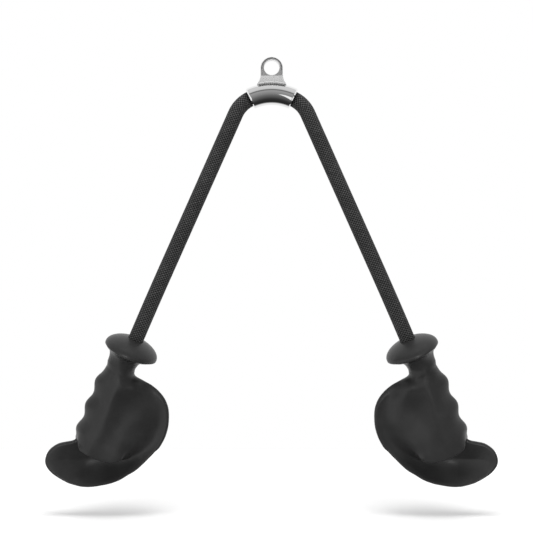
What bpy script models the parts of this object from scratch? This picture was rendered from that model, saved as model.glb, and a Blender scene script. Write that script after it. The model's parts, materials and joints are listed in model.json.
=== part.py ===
"""A rope attachment for a cable machine: a steel eye and bent sleeve, a braided rope and two moulded handles.

Metres, +Z up, +X to the right. The origin is the centre of the eye's hole, which hangs on a hook or carabiner.
The left side is worked out and the right side is its mirror image in the plane x = 0.
"""

import math

import bmesh
import bpy
import numpy as np
from mathutils import Matrix, Vector

# Scale values
MM = 0.001
DEG = math.pi / 180
CUT_OVERRUN = 4 * MM
FIT_GAP = 0.3 * MM

# Rope
ROPE_RADIUS = 8 * MM
ROPE_ROUND_STEPS = 2
BEND_RADIUS = 32 * MM
LEG_ANGLE = 24.0 * DEG
LEG_STRAIGHT = 267 * MM
SWING_STRETCH = 40 * MM
LEAN_STRETCH = 80 * MM
ROPE_STEP = 34 * MM
ROPE_LEAD = 1.2 * MM
BEND_STEP = 6 * MM

# Steel sleeve
SLEEVE_WALL = 3 * MM
SLEEVE_ROPE_GAP = 0.6 * MM
SLEEVE_RADIUS = 54.2 * MM
SLEEVE_HALF_SWEEP = 25.8 * DEG
SLEEVE_LIP_CHAMFER = 0.8 * MM
SLEEVE_STATIONS = 19

# Steel eye
EYE_STAND = 16.6 * MM
EYE_HOLE_RADIUS = 8.6 * MM
EYE_RIM = 3.2 * MM
EYE_THICKNESS = 10 * MM
EYE_BASE_HALF_WIDTH = 15.2 * MM
EYE_FLARE_TOP = 7.5 * MM
EYE_FLARE_FOOT = 17.8 * MM
EYE_EDGE_ROUND = 1.6 * MM
EYE_ARC_STEPS = 14
WELD_RADIUS = 1.3 * MM
WELD_STATIONS = 11

# Handle
HANDLE_LEAN = 12 * DEG
COLLAR_RADIUS = 29.6 * MM
COLLAR_DOME = 13.2 * MM
COLLAR_EDGE = 2 * MM
GRIP_DEPTH = 17 * MM
FINGER_GROOVE_DEPTH = 2.1 * MM
FINGER_PITCH = 29.5 * MM
FIRST_FINGER_CREST = 60 * MM
PALM_REACH = 70.5 * MM
HANDLE_LENGTH = 176.3 * MM
GRIP_SHARE = 0.814
DISH_LIFT = 20 * MM
DISH_THICKNESS = 6.6 * MM
CHANNEL_WIDTH = 30 * MM
TOE_SLOPE = 4.5 * MM
SIDE_SLOPE = 24 * MM
FINGER_ROUND = 15 * MM
RIDGE_FALL_THUMB_SHARE = 0.13
RIDGE_FALL_FINGER_SHARE = 0.14
FINGER_DROP_SHARE = 0.6
SECTION_POINTS = 32
COLLAR_ROWS = 5

# Inside the handle
BORE_SLEEVE_WALL = 1.2 * MM
BORE_SLEEVE_TOP = 3 * MM
COUNTERBORE_RADIUS = 12.8 * MM
COUNTERBORE_DEPTH = 31.5 * MM
WASHER_THICKNESS = 2.4 * MM
FERRULE_WALL = 2.6 * MM
FERRULE_LENGTH = 19 * MM
PLUG_THICKNESS = 4 * MM
ROUND_SIDES = 24

# The handle's outline seen from its front, in rows from the neck down to the bottom. Each row has its finger-side
# end, then its palm-side end: across as a share of PALM_REACH, down as a share of HANDLE_LENGTH, and the rim's
# height there as a share of DISH_LIFT. Last comes how far the row sags between its ends, as a share of
# HANDLE_LENGTH, which lays the rows along the toe's edge. The finger grooves are added by finger_wave.
OUTLINE_SHARES = (
    (-0.275, 0.190, 0.00, 0.171, 0.187, 0.00, 0.000),
    (-0.258, 0.218, 0.00, 0.206, 0.217, 0.04, 0.000),
    (-0.262, 0.233, 0.00, 0.340, 0.222, 0.12, 0.000),
    (-0.270, 0.247, 0.00, 0.500, 0.229, 0.17, 0.000),
    (-0.283, 0.261, 0.00, 0.645, 0.245, 0.22, 0.000),
    (-0.297, 0.278, 0.00, 0.770, 0.272, 0.27, 0.000),
    (-0.308, 0.303, 0.00, 0.861, 0.307, 0.31, 0.000),
    (-0.312, 0.343, 0.00, 0.916, 0.342, 0.35, 0.003),
    (-0.312, 0.394, 0.00, 0.965, 0.387, 0.38, 0.008),
    (-0.312, 0.453, 0.00, 1.001, 0.436, 0.41, 0.018),
    (-0.312, 0.517, 0.00, 1.018, 0.490, 0.44, 0.034),
    (-0.308, 0.580, 0.00, 1.015, 0.533, 0.47, 0.054),
    (-0.305, 0.643, 0.00, 1.001, 0.575, 0.50, 0.074),
    (-0.300, 0.700, 0.00, 0.966, 0.611, 0.52, 0.090),
    (-0.285, 0.742, 0.00, 0.938, 0.643, 0.54, 0.099),
    (-0.268, 0.764, 0.00, 0.908, 0.674, 0.56, 0.100),
    (-0.310, 0.785, 0.05, 0.867, 0.717, 0.58, 0.092),
    (-0.390, 0.805, 0.12, 0.808, 0.769, 0.60, 0.078),
    (-0.482, 0.832, 0.18, 0.727, 0.817, 0.60, 0.062),
    (-0.552, 0.872, 0.24, 0.637, 0.870, 0.60, 0.044),
    (-0.584, 0.914, 0.30, 0.521, 0.918, 0.59, 0.028),
    (-0.569, 0.961, 0.36, 0.389, 0.959, 0.58, 0.014),
    (-0.510, 0.994, 0.40, 0.269, 0.991, 0.56, 0.006),
    (-0.402, 1.017, 0.44, 0.145, 1.014, 0.54, 0.002),
    (-0.285, 1.027, 0.47, 0.040, 1.025, 0.52, 0.000),
    (-0.176, 1.032, 0.48, -0.080, 1.033, 0.50, 0.000),
)

# The edge where the grip, the thumb's shelf and the palm swell rise out of the dish: across as a share of
# PALM_REACH and down as a share of HANDLE_LENGTH, the long way round outside the fingers.
BODY_EDGE_SHARES = (
    (-0.85, 0.00),
    (-0.85, 0.71),
    (-0.40, 0.735),
    (-0.268, 0.764),
    (-0.152, 0.804),
    (-0.037, 0.813),
    (0.079, 0.818),
    (0.195, 0.820),
    (0.311, 0.8145),
    (0.426, 0.8005),
    (0.542, 0.778),
    (0.660, 0.742),
    (0.770, 0.680),
    (0.87, 0.590),
    (0.91, 0.490),
    (0.88, 0.420),
    (0.80, 0.355),
    (0.68, 0.300),
    (0.52, 0.262),
    (0.42, 0.230),
    (0.42, 0.00),
)

# Down the handle as a share of HANDLE_LENGTH, then there: the ridge over the axis and the depth behind it as
# shares of GRIP_DEPTH, the thumb's shelf as a share of the ridge, where the ridge and the crest beyond the shelf
# run as shares of PALM_REACH, the crest's and the palm swell's rise as shares of GRIP_DEPTH, and the height of the
# dish's floor as a share of DISH_LIFT.
DEPTH_SHARES = (
    (0.18, 0.88, 0.88, 0.78, 0.01, 0.30, 0.00, 0.00, 0.00),
    (0.24, 0.90, 0.88, 0.52, 0.03, 0.42, 0.04, 0.00, 0.02),
    (0.30, 0.95, 0.94, 0.40, 0.04, 0.54, 0.12, 0.00, -0.02),
    (0.38, 1.00, 1.00, 0.34, 0.04, 0.62, 0.20, 0.04, -0.08),
    (0.48, 1.02, 1.00, 0.34, 0.06, 0.66, 0.20, 0.20, -0.12),
    (0.58, 1.04, 1.00, 0.44, 0.07, 0.68, 0.10, 0.36, -0.12),
    (0.68, 1.06, 1.02, 0.60, 0.05, 0.66, 0.00, 0.30, -0.20),
    (0.76, 1.06, 1.06, 0.74, 0.04, 0.60, 0.00, 0.12, -0.38),
    (0.82, 1.05, 1.12, 0.84, 0.02, 0.50, 0.00, 0.00, -0.54),
    (1.00, 1.00, 1.15, 0.90, 0.00, 0.30, 0.00, 0.00, -0.50),
)

# Sizes that follow from those above
SLEEVE_BORE_RADIUS = ROPE_RADIUS + SLEEVE_ROPE_GAP
SLEEVE_OUTER_RADIUS = SLEEVE_BORE_RADIUS + SLEEVE_WALL
EYE_DROP = SLEEVE_RADIUS + SLEEVE_OUTER_RADIUS + EYE_STAND
MOUTH = Vector(
    (
        -SLEEVE_RADIUS * math.sin(SLEEVE_HALF_SWEEP),
        0,
        SLEEVE_RADIUS * math.cos(SLEEVE_HALF_SWEEP) - EYE_DROP,
    )
)
EYE_OUTER_RADIUS = EYE_HOLE_RADIUS + EYE_RIM
BEND_LENGTH = BEND_RADIUS * (math.pi / 2 - LEG_ANGLE - SLEEVE_HALF_SWEEP)
GRIP_LENGTH = HANDLE_LENGTH * GRIP_SHARE
COUNTERBORE_TOP = GRIP_LENGTH - COUNTERBORE_DEPTH
BORE_RADIUS = ROPE_RADIUS + FIT_GAP
BORE_SLEEVE_RADIUS = BORE_RADIUS + BORE_SLEEVE_WALL
HANDLE_BORE_RADIUS = BORE_SLEEVE_RADIUS + FIT_GAP
FERRULE_RADIUS = BORE_RADIUS + FERRULE_WALL
WASHER_RADIUS = COUNTERBORE_RADIUS - FIT_GAP

# Runs of rows down the handle's table: first and last place and how many rows, closer together at the toe
SKIN_RUNS = ((0, 12, 13), (13, 13.9, 2), (14.15, 15.15, 6), (15.8, 24.8, 10))


def smooth_through(levels, values, at):
    """A cubic through the points (levels, values), with slopes taken from their neighbours, read at the places at."""
    x = np.asarray(levels, float)
    y = np.asarray(values, float)
    at = np.clip(np.asarray(at, float), x[0], x[-1])
    slope = np.gradient(y, x)
    i = np.clip(np.searchsorted(x, at, side="right") - 1, 0, len(x) - 2)
    width = x[i + 1] - x[i]
    s = (at - x[i]) / width
    return (
        y[i] * (1 + 2 * s) * (1 - s) ** 2
        + y[i + 1] * s**2 * (3 - 2 * s)
        + width * slope[i] * s * (1 - s) ** 2
        - width * slope[i + 1] * s**2 * (1 - s)
    )


def smooth_step(x):
    x = np.clip(x, 0, 1)
    return x * x * (3 - 2 * x)


def smoother_step(x):
    x = np.clip(x, 0, 1)
    return x**3 * (x * (6 * x - 15) + 10)


def ridge_fall(u):
    """A share that leaves 1 without a corner and falls away to the side."""
    u = np.maximum(u, 0)
    return (1 + u) * np.exp(-u)


# Scene and materials


def clear_scene():
    for obj in list(bpy.data.objects):
        bpy.data.objects.remove(obj)


def make_material(name, colour, metallic, roughness):
    material = bpy.data.materials.new(name)
    material.use_nodes = True
    shader = material.node_tree.nodes["Principled BSDF"]
    shader.inputs["Base Color"].default_value = (*colour, 1)
    shader.inputs["Metallic"].default_value = metallic
    shader.inputs["Roughness"].default_value = roughness
    material.diffuse_color = (*colour, 1)
    return material


def add_object(name, mesh, collection, material=None):
    obj = bpy.data.objects.new(name, mesh)
    collection.objects.link(obj)
    if material:
        mesh.materials.append(material)
        mesh.shade_smooth()
        mesh.set_sharp_from_angle(angle=40 * DEG)
    return obj


def make_cutter(name, mesh):
    cutter = add_object(name, mesh, CUTTERS)
    cutter.hide_render = True
    cutter.display_type = "WIRE"
    return cutter


def boolean(obj, other, operation):
    modifier = obj.modifiers.new(other.name, "BOOLEAN")
    modifier.operation = operation
    modifier.object = other
    return modifier


def mesh_from(name, points, faces):
    mesh = bpy.data.meshes.new(name)
    mesh.from_pydata([tuple(p) for p in points], [], faces)
    mesh.update()
    return mesh


def closed_loft(name, rows):
    """A closed skin over rows of points, each row a closed ring, with a flat face over the first and the last ring."""
    rows = np.asarray(rows)
    count, around = rows.shape[:2]
    faces = [
        (
            r * around + c,
            r * around + (c + 1) % around,
            (r + 1) * around + (c + 1) % around,
            (r + 1) * around + c,
        )
        for r in range(count - 1)
        for c in range(around)
    ]
    faces.append(tuple(reversed(range(around))))
    faces.append(tuple((count - 1) * around + c for c in range(around)))
    mesh = mesh_from(name, rows.reshape(-1, 3), faces)
    shape = bmesh.new()
    shape.from_mesh(mesh)
    bmesh.ops.recalc_face_normals(shape, faces=shape.faces)
    shape.to_mesh(mesh)
    shape.free()
    return mesh


def curve_mesh(name, points, radius, level):
    """A round tube with filled caps along the points, as a mesh."""
    curve = bpy.data.curves.new(name, "CURVE")
    curve.dimensions = "3D"
    spline = curve.splines.new("POLY")
    spline.points.add(len(points) - 1)
    for place, point in zip(spline.points, points):
        place.co = (*point, 1)
    curve.bevel_depth = radius
    curve.bevel_resolution = level
    curve.use_fill_caps = True
    helper = bpy.data.objects.new(name, curve)
    CUTTERS.objects.link(helper)
    bpy.context.view_layer.update()
    graph = bpy.context.evaluated_depsgraph_get()
    mesh = bpy.data.meshes.new_from_object(helper.evaluated_get(graph))
    bpy.data.objects.remove(helper)
    shape = bmesh.new()
    shape.from_mesh(mesh)
    bmesh.ops.remove_doubles(shape, verts=shape.verts, dist=CUT_OVERRUN / 1000)
    bmesh.ops.recalc_face_normals(shape, faces=shape.faces)
    shape.to_mesh(mesh)
    shape.free()
    return mesh


def turned_mesh(name, profile, sides):
    """A closed solid turned about +Z from a profile of (radius, height) points that runs round its wall."""
    turns = np.arange(sides) * 2 * math.pi / sides
    rows = [
        [(r * math.cos(a), r * math.sin(a), h) for a in turns] for r, h in profile
    ]
    points = np.asarray(rows)
    count = len(profile)
    faces = [
        (
            r * sides + c,
            r * sides + (c + 1) % sides,
            ((r + 1) % count) * sides + (c + 1) % sides,
            ((r + 1) % count) * sides + c,
        )
        for r in range(count)
        for c in range(sides)
    ]
    mesh = mesh_from(name, points.reshape(-1, 3), faces)
    shape = bmesh.new()
    shape.from_mesh(mesh)
    bmesh.ops.recalc_face_normals(shape, faces=shape.faces)
    shape.to_mesh(mesh)
    shape.free()
    return mesh


def cylinder_mesh(name, radius, low, high, sides):
    mesh = bpy.data.meshes.new(name)
    shape = bmesh.new()
    bmesh.ops.create_cone(
        shape,
        cap_ends=True,
        segments=sides,
        radius1=radius,
        radius2=radius,
        depth=high - low,
        matrix=Matrix.Translation((0, 0, (low + high) / 2)),
    )
    shape.to_mesh(mesh)
    shape.free()
    return mesh


def mirrored(mesh, name):
    """The mesh's mirror image in x = 0, with its faces turned to point outwards again."""
    copy = mesh.copy()
    copy.name = name
    copy.transform(Matrix.Scale(-1, 4, (1, 0, 0)))
    copy.flip_normals()
    return copy


def applied(obj):
    """The object's mesh with its modifiers applied, and the object removed."""
    bpy.context.view_layer.update()
    graph = bpy.context.evaluated_depsgraph_get()
    mesh = bpy.data.meshes.new_from_object(obj.evaluated_get(graph))
    mesh.transform(obj.matrix_world)
    bpy.data.objects.remove(obj)
    return mesh


# Rope route


def leg_frame():
    """The left handle's axis A, its palm side U and its front V, and the point where the rope enters the collar."""
    down = Vector((-math.sin(LEG_ANGLE), 0, -math.cos(LEG_ANGLE)))
    back = Vector((0, 1, 0))
    axis = math.cos(HANDLE_LEAN) * down + math.sin(HANDLE_LEAN) * back
    front = math.sin(HANDLE_LEAN) * down - math.cos(HANDLE_LEAN) * back
    palm = Vector((math.cos(LEG_ANGLE), 0, -math.sin(LEG_ANGLE)))
    return axis, palm, front, route_point(BEND_LENGTH + LEG_STRAIGHT)


def bend_point(share):
    """A point of the rope's bend below the left mouth, from the mouth at share 0 to the straight leg at 1."""
    start = SLEEVE_HALF_SWEEP
    end = math.pi / 2 - LEG_ANGLE
    turn = start + (end - start) * share
    return MOUTH + BEND_RADIUS * Vector(
        (math.sin(start) - math.sin(turn), 0, math.cos(turn) - math.cos(start))
    )


def route_point(distance):
    """The centreline's point at this distance from the left mouth: the bend, the straight leg, then the lean."""
    if distance <= BEND_LENGTH:
        return bend_point(distance / BEND_LENGTH)
    down = Vector((-math.sin(LEG_ANGLE), 0, -math.cos(LEG_ANGLE)))
    back = Vector((0, 1, 0))
    lean_radius = LEAN_STRETCH / HANDLE_LEAN
    straight = min(distance - BEND_LENGTH, LEG_STRAIGHT - LEAN_STRETCH)
    turn = max(distance - BEND_LENGTH - straight, 0) / lean_radius
    return (
        bend_point(1)
        + down * (straight + lean_radius * math.sin(turn))
        + back * lean_radius * (1 - math.cos(turn))
    )


def swing_pivot():
    return route_point(BEND_LENGTH + SWING_STRETCH / 2)


def stretch(start, end, step):
    """Points of one stretch of rope, with a short lead at each end that squares its end face to the route."""
    count = max(2, int(math.ceil((end - start) / step)) + 1)
    distances = list(np.linspace(start, end, count))
    distances[1:1] = [start + ROPE_LEAD]
    distances[-1:-1] = [end - ROPE_LEAD]
    return [route_point(distance) for distance in distances]


# Steel


def sleeve_arc(half_sweep, count):
    turns = np.linspace(-half_sweep, half_sweep, count)
    return [
        (SLEEVE_RADIUS * math.sin(a), 0, SLEEVE_RADIUS * math.cos(a) - EYE_DROP) for a in turns
    ]


def bent_tube(name, outer, inner, chamfer):
    """A tube bent round the sleeve's arc, with chamfered lips, as one closed skin: outside, lip, inside, lip."""
    overhang = chamfer / SLEEVE_RADIUS
    inside = np.linspace(-SLEEVE_HALF_SWEEP, SLEEVE_HALF_SWEEP, SLEEVE_STATIONS)
    stations = [(a, outer) for a in inside[1:-1]]
    stations.insert(0, (-SLEEVE_HALF_SWEEP + overhang, outer))
    stations.append((SLEEVE_HALF_SWEEP - overhang, outer))
    stations.append((SLEEVE_HALF_SWEEP, outer - chamfer))
    stations += [(a, inner) for a in inside[::-1]]
    stations.append((-SLEEVE_HALF_SWEEP, outer - chamfer))
    around = np.arange(ROUND_SIDES) * 2 * math.pi / ROUND_SIDES
    points = []
    for turn, radius in stations:
        reach = SLEEVE_RADIUS + radius * np.cos(around)
        points.append(
            np.stack(
                [
                    reach * math.sin(turn),
                    radius * np.sin(around),
                    reach * math.cos(turn) - EYE_DROP,
                ],
                axis=1,
            )
        )
    points = np.asarray(points)
    count = len(stations)
    faces = [
        (
            r * ROUND_SIDES + c,
            r * ROUND_SIDES + (c + 1) % ROUND_SIDES,
            ((r + 1) % count) * ROUND_SIDES + (c + 1) % ROUND_SIDES,
            ((r + 1) % count) * ROUND_SIDES + c,
        )
        for r in range(count)
        for c in range(ROUND_SIDES)
    ]
    mesh = mesh_from(name, points.reshape(-1, 3), faces)
    shape = bmesh.new()
    shape.from_mesh(mesh)
    bmesh.ops.recalc_face_normals(shape, faces=shape.faces)
    shape.to_mesh(mesh)
    shape.free()
    return mesh


def eye_outline():
    """The lug's outline from its foot on the left, over the ring, to its foot on the right."""
    foot = SLEEVE_RADIUS - EYE_DROP
    right = [
        (EYE_OUTER_RADIUS * math.cos(a), EYE_OUTER_RADIUS * math.sin(a))
        for a in np.linspace(math.pi / 2, 0, EYE_ARC_STEPS // 2 + 1)
    ]
    flare = [
        (
            EYE_OUTER_RADIUS + (EYE_BASE_HALF_WIDTH - EYE_OUTER_RADIUS) * share**2,
            -EYE_FLARE_TOP - (EYE_FLARE_FOOT - EYE_FLARE_TOP) * share,
        )
        for share in (0, 0.25, 0.5, 0.75, 1)
    ]
    right += flare
    right.append((EYE_BASE_HALF_WIDTH, foot))
    left = [(-x, z) for x, z in reversed(right[1:])]
    return left + right


def make_eye():
    curve = bpy.data.curves.new("hanger_eye", "CURVE")
    curve.dimensions = "2D"
    curve.fill_mode = "BOTH"
    curve.extrude = EYE_THICKNESS / 2 - EYE_EDGE_ROUND
    curve.bevel_depth = EYE_EDGE_ROUND
    curve.bevel_resolution = 1
    outline = eye_outline()
    spline = curve.splines.new("POLY")
    spline.points.add(len(outline) - 1)
    for place, (x, z) in zip(spline.points, outline):
        if z >= 0:
            shrink = 1 - EYE_EDGE_ROUND / EYE_OUTER_RADIUS
            place.co = (x * shrink, z * shrink, 0, 1)
        else:
            place.co = (x - math.copysign(EYE_EDGE_ROUND, x), z, 0, 1)
    spline.use_cyclic_u = True
    helper = bpy.data.objects.new("eye_blank", curve)
    CUTTERS.objects.link(helper)
    helper.rotation_euler = (math.pi / 2, 0, 0)
    bpy.context.view_layer.update()
    graph = bpy.context.evaluated_depsgraph_get()
    mesh = bpy.data.meshes.new_from_object(helper.evaluated_get(graph))
    mesh.transform(helper.matrix_world)
    bpy.data.objects.remove(helper)
    shape = bmesh.new()
    shape.from_mesh(mesh)
    bmesh.ops.remove_doubles(shape, verts=shape.verts, dist=CUT_OVERRUN / 1000)
    bmesh.ops.recalc_face_normals(shape, faces=shape.faces)
    shape.to_mesh(mesh)
    shape.free()
    eye = add_object("hanger_eye", mesh, PARTS, STEEL)
    half = EYE_THICKNESS / 2
    hole = turned_mesh(
        "eye_hole",
        (
            (EYE_HOLE_RADIUS / 10, -half - CUT_OVERRUN),
            (EYE_HOLE_RADIUS + EYE_EDGE_ROUND / 2 + CUT_OVERRUN, -half - CUT_OVERRUN),
            (EYE_HOLE_RADIUS, -half + EYE_EDGE_ROUND / 2),
            (EYE_HOLE_RADIUS, half - EYE_EDGE_ROUND / 2),
            (EYE_HOLE_RADIUS + EYE_EDGE_ROUND / 2 + CUT_OVERRUN, half + CUT_OVERRUN),
            (EYE_HOLE_RADIUS / 10, half + CUT_OVERRUN),
        ),
        ROUND_SIDES,
    )
    core = cylinder_mesh(
        "eye_core", EYE_HOLE_RADIUS / 2, -half - CUT_OVERRUN, half + CUT_OVERRUN, ROUND_SIDES
    )
    for cut in (hole, core):
        cutter = make_cutter(cut.name, cut)
        cutter.rotation_euler = (math.pi / 2, 0, 0)
        boolean(eye, cutter, "DIFFERENCE")
    seat = curve_mesh(
        "eye_seat",
        sleeve_arc(SLEEVE_HALF_SWEEP, SLEEVE_STATIONS),
        SLEEVE_OUTER_RADIUS + FIT_GAP,
        6,
    )
    boolean(eye, make_cutter("eye_seat", seat), "DIFFERENCE")
    return eye


def make_welds(sleeve_like_radius):
    """A bead along each face of the lug's foot, lying in the corner between the lug and the sleeve."""
    reach = EYE_BASE_HALF_WIDTH / SLEEVE_RADIUS * 0.8
    clear = WELD_RADIUS + FIT_GAP
    side = EYE_THICKNESS / 2 + clear
    lift = math.sqrt((sleeve_like_radius + clear) ** 2 - side**2)
    for name, sign in (("weld_bead_front", -1), ("weld_bead_back", 1)):
        turns = np.linspace(-reach, reach, WELD_STATIONS)
        points = [
            (
                (SLEEVE_RADIUS + lift) * math.sin(a),
                sign * side,
                (SLEEVE_RADIUS + lift) * math.cos(a) - EYE_DROP,
            )
            for a in turns
        ]
        add_object(name, curve_mesh(name, points, WELD_RADIUS, 1), PARTS, STEEL)


# The handle's skin in its own frame: x towards the palm, y to the front, z down the grip


def finger_wave(down):
    """How far the finger side swells past its table, which carries the three finger grooves down the grip."""
    wave = np.cos(2 * math.pi * (down - FIRST_FINGER_CREST) / FINGER_PITCH)
    start = smooth_step((down - FIRST_FINGER_CREST + FINGER_PITCH * 0.7) / (FINGER_PITCH * 0.5))
    end = smooth_step((GRIP_LENGTH * 0.93 - down) / (FINGER_PITCH * 0.4))
    return FINGER_GROOVE_DEPTH * wave * start * end


def outline_ends(places):
    """The two ends of each row at these places in the table, across, down and rim height, and the row's sag."""
    table = np.asarray(OUTLINE_SHARES)
    level = np.arange(len(table))
    scale = (PALM_REACH, HANDLE_LENGTH, DISH_LIFT) * 2 + (HANDLE_LENGTH,)
    ends = np.stack(
        [smooth_through(level, table[:, k], places) * scale[k] for k in range(len(scale))], axis=1
    )
    ends[:, 0] -= finger_wave(ends[:, 1])
    return ends[:, :3], ends[:, 3:6], ends[:, 6:]


def distance_to(line, points):
    """The shortest distance from each point to a line of segments."""
    start, along = line[:-1], np.diff(line, axis=0)
    length = (along**2).sum(axis=1)
    gap = points[..., None, :] - start
    share = np.clip((gap * along).sum(axis=-1) / length, 0, 1)
    return np.sqrt(((gap - share[..., None] * along) ** 2).sum(axis=-1)).min(axis=-1)


def inside_of(line, points):
    """Whether each point lies within the closed line, by counting how often a ray to one side crosses it."""
    x, y = points[..., 0:1], points[..., 1:2]
    x1, y1 = line[:-1, 0], line[:-1, 1]
    x2, y2 = line[1:, 0], line[1:, 1]
    spans = (y1 > y) != (y2 > y)
    rise = np.where(y2 == y1, 1, y2 - y1)
    crossing = x1 + (y - y1) / rise * (x2 - x1)
    return (spans & (x < crossing)).sum(axis=-1) % 2 == 1


def body_edge():
    """The edge where the body rises out of the dish, as a smooth closed line."""
    table = np.asarray(BODY_EDGE_SHARES) * (PALM_REACH, HANDLE_LENGTH)
    level = np.arange(len(table))
    places = np.linspace(0, len(table) - 1, 4 * len(table))
    line = np.stack([smooth_through(level, table[:, k], places) for k in range(2)], axis=1)
    return np.concatenate([line, line[:1]])


def skin_heights(across, down, rim, level_rim):
    """The front's and the back's heights: the dish near the rim and, inside the body's edge, the body itself."""
    table = np.asarray(DEPTH_SHARES)
    ridge, behind, shelf, ridge_at, crest_at, crest, swell, floor = (
        smooth_through(table[:, 0], table[:, k], down / HANDLE_LENGTH) for k in range(1, 9)
    )
    points = np.stack([across, down], axis=-1)
    share = across / PALM_REACH
    level = down / GRIP_LENGTH
    bowl = np.clip(distance_to(rim, points) / CHANNEL_WIDTH, 0, 1)
    deep = smoother_step(share + 0.75)
    dish = level_rim + (floor * DISH_LIFT - level_rim) * bowl * (2 - bowl) * deep
    soft = 1 + 0.9 * smooth_step((level - 0.5) / 0.4)
    body = shelf + (1 - shelf) * ridge_fall((share - ridge_at) / (RIDGE_FALL_THUMB_SHARE * soft))
    dropped = 1 - ridge_fall((ridge_at - share) / (RIDGE_FALL_FINGER_SHARE * soft))
    body *= ridge * GRIP_DEPTH * (1 - FINGER_DROP_SHARE * dropped)
    body += crest * GRIP_DEPTH * np.exp(-(((share - crest_at) / 0.17) ** 2))
    body += swell * GRIP_DEPTH * np.exp(-(((share - 0.47) / 0.2) ** 2))
    back = -behind * GRIP_DEPTH * (0.5 + 0.5 * np.exp(-((np.maximum(share, 0) / 0.32) ** 2)))
    edge = body_edge()
    depth = distance_to(edge, points) * np.where(inside_of(edge, points), 1, -1)
    above_toe = 1 - smooth_step((level - 0.74) / 0.2) * (1 - smooth_step((share - 0.5) / 0.3))
    gentle = smooth_step((level - 0.2) / 0.4) * above_toe
    front_share = smoother_step(depth / (TOE_SLOPE + (SIDE_SLOPE - TOE_SLOPE) * gentle))
    back_share = smooth_step((depth + SIDE_SLOPE / 2) / (SIDE_SLOPE * 1.4))
    front = dish + (body - dish) * front_share
    rear = (dish - DISH_THICKNESS) * (1 - back_share) + back * back_share
    middle = (dish - DISH_THICKNESS / 2) * (1 - back_share)
    return front, rear, middle


def skin_rows(places, around):
    """Rings of the handle below the neck, each along its front from the fingers to the palm and back behind."""
    fingers, palm, sag = outline_ends(places)
    table_places = np.linspace(0, len(OUTLINE_SHARES) - 1, 12 * len(OUTLINE_SHARES))
    finger_line, palm_line, _ = outline_ends(table_places)
    whole = np.concatenate([finger_line[:, :2], palm_line[::-1, :2]])
    turn = 2 * np.pi * np.arange(around) / around
    share = (1 - np.cos(turn))[None, :] / 2
    across = fingers[:, :1] + (palm[:, :1] - fingers[:, :1]) * share
    down = fingers[:, 1:2] + (palm[:, 1:2] - fingers[:, 1:2]) * share + 4 * sag * share * (1 - share)
    level_rim = fingers[:, 2:] + (palm[:, 2:] - fingers[:, 2:]) * share
    points = np.stack([across, down], axis=-1)
    front, rear, middle = skin_heights(across, down, whole, level_rim)
    neck = 1 - smooth_step((down / HANDLE_LENGTH - 0.19) / 0.15)
    neck *= 1 - smooth_step((across / PALM_REACH - 0.15) / 0.3)
    width = (palm[:, :1] - fingers[:, :1]) / 2
    finger_share = 1 - smooth_step((down / HANDLE_LENGTH - 0.74) / 0.05)
    half = DISH_THICKNESS / 2
    side = half + (FINGER_ROUND - half) * finger_share * (1 - smooth_step((share - 0.35) / 0.4))
    side = side + (width - side) * neck
    closing = np.clip(distance_to(whole, points) / side, 0, 1)
    closing = np.sqrt(1 - (1 - closing) ** 2)
    height = np.where(turn[None, :] < np.pi, front, rear)
    height = middle + (height - middle) * closing
    return np.stack([across, height, down], axis=-1)


def collar_rows(first, around):
    """The collar's rings, from the dome's top over the edge and along its hollow underside to the neck."""
    half = around // 2
    turn = 2 * np.pi * np.arange(around) / around
    round_ring = np.stack([-np.cos(turn), np.sin(turn), np.zeros(around)], axis=1)
    rings = []
    for share in np.linspace(0.16, 1, COLLAR_ROWS):
        drop = COLLAR_DOME * (1 - math.cos(share * math.pi / 2))
        ring = round_ring * COLLAR_RADIUS * math.sin(share * math.pi / 2)
        rings.append(ring + (0, 0, drop))
    rim = round_ring * COLLAR_RADIUS + (0, 0, COLLAR_DOME + COLLAR_EDGE * 0.5)
    rings.append(rim)
    for share in (0.12, 0.4, 0.72):
        ring = first + (rim - first) * (1 - share) ** 2.2
        ring[:, 2] = rim[:, 2] + COLLAR_EDGE + (first[:, 2] - rim[:, 2] - COLLAR_EDGE) * share**1.6
        rings.append(ring)
    return rings


def handle_mesh(around):
    places = np.concatenate([np.linspace(*run) for run in SKIN_RUNS])
    skin = skin_rows(places, around)
    rows = collar_rows(skin[0], around) + list(skin)
    return closed_loft("handle_skin", rows)


def handle_matrix():
    axis, palm, front, entry = leg_frame()
    matrix = Matrix((palm, front, axis)).transposed().to_4x4()
    matrix.translation = entry
    return matrix


def make_handle():
    body = add_object("handle_blank", handle_mesh(SECTION_POINTS), CUTTERS)
    bore_end = COUNTERBORE_TOP + CUT_OVERRUN
    bore = make_cutter(
        "handle_bore",
        cylinder_mesh("handle_bore", HANDLE_BORE_RADIUS, -CUT_OVERRUN, bore_end, ROUND_SIDES),
    )
    boolean(body, bore, "DIFFERENCE")
    counterbore = make_cutter(
        "handle_counterbore",
        cylinder_mesh(
            "handle_counterbore",
            COUNTERBORE_RADIUS,
            COUNTERBORE_TOP,
            GRIP_LENGTH,
            ROUND_SIDES,
        ),
    )
    boolean(body, counterbore, "DIFFERENCE")
    mesh = applied(body)
    mesh.transform(handle_matrix())
    return mesh


# Parts inside the handle, turned about its axis


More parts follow.
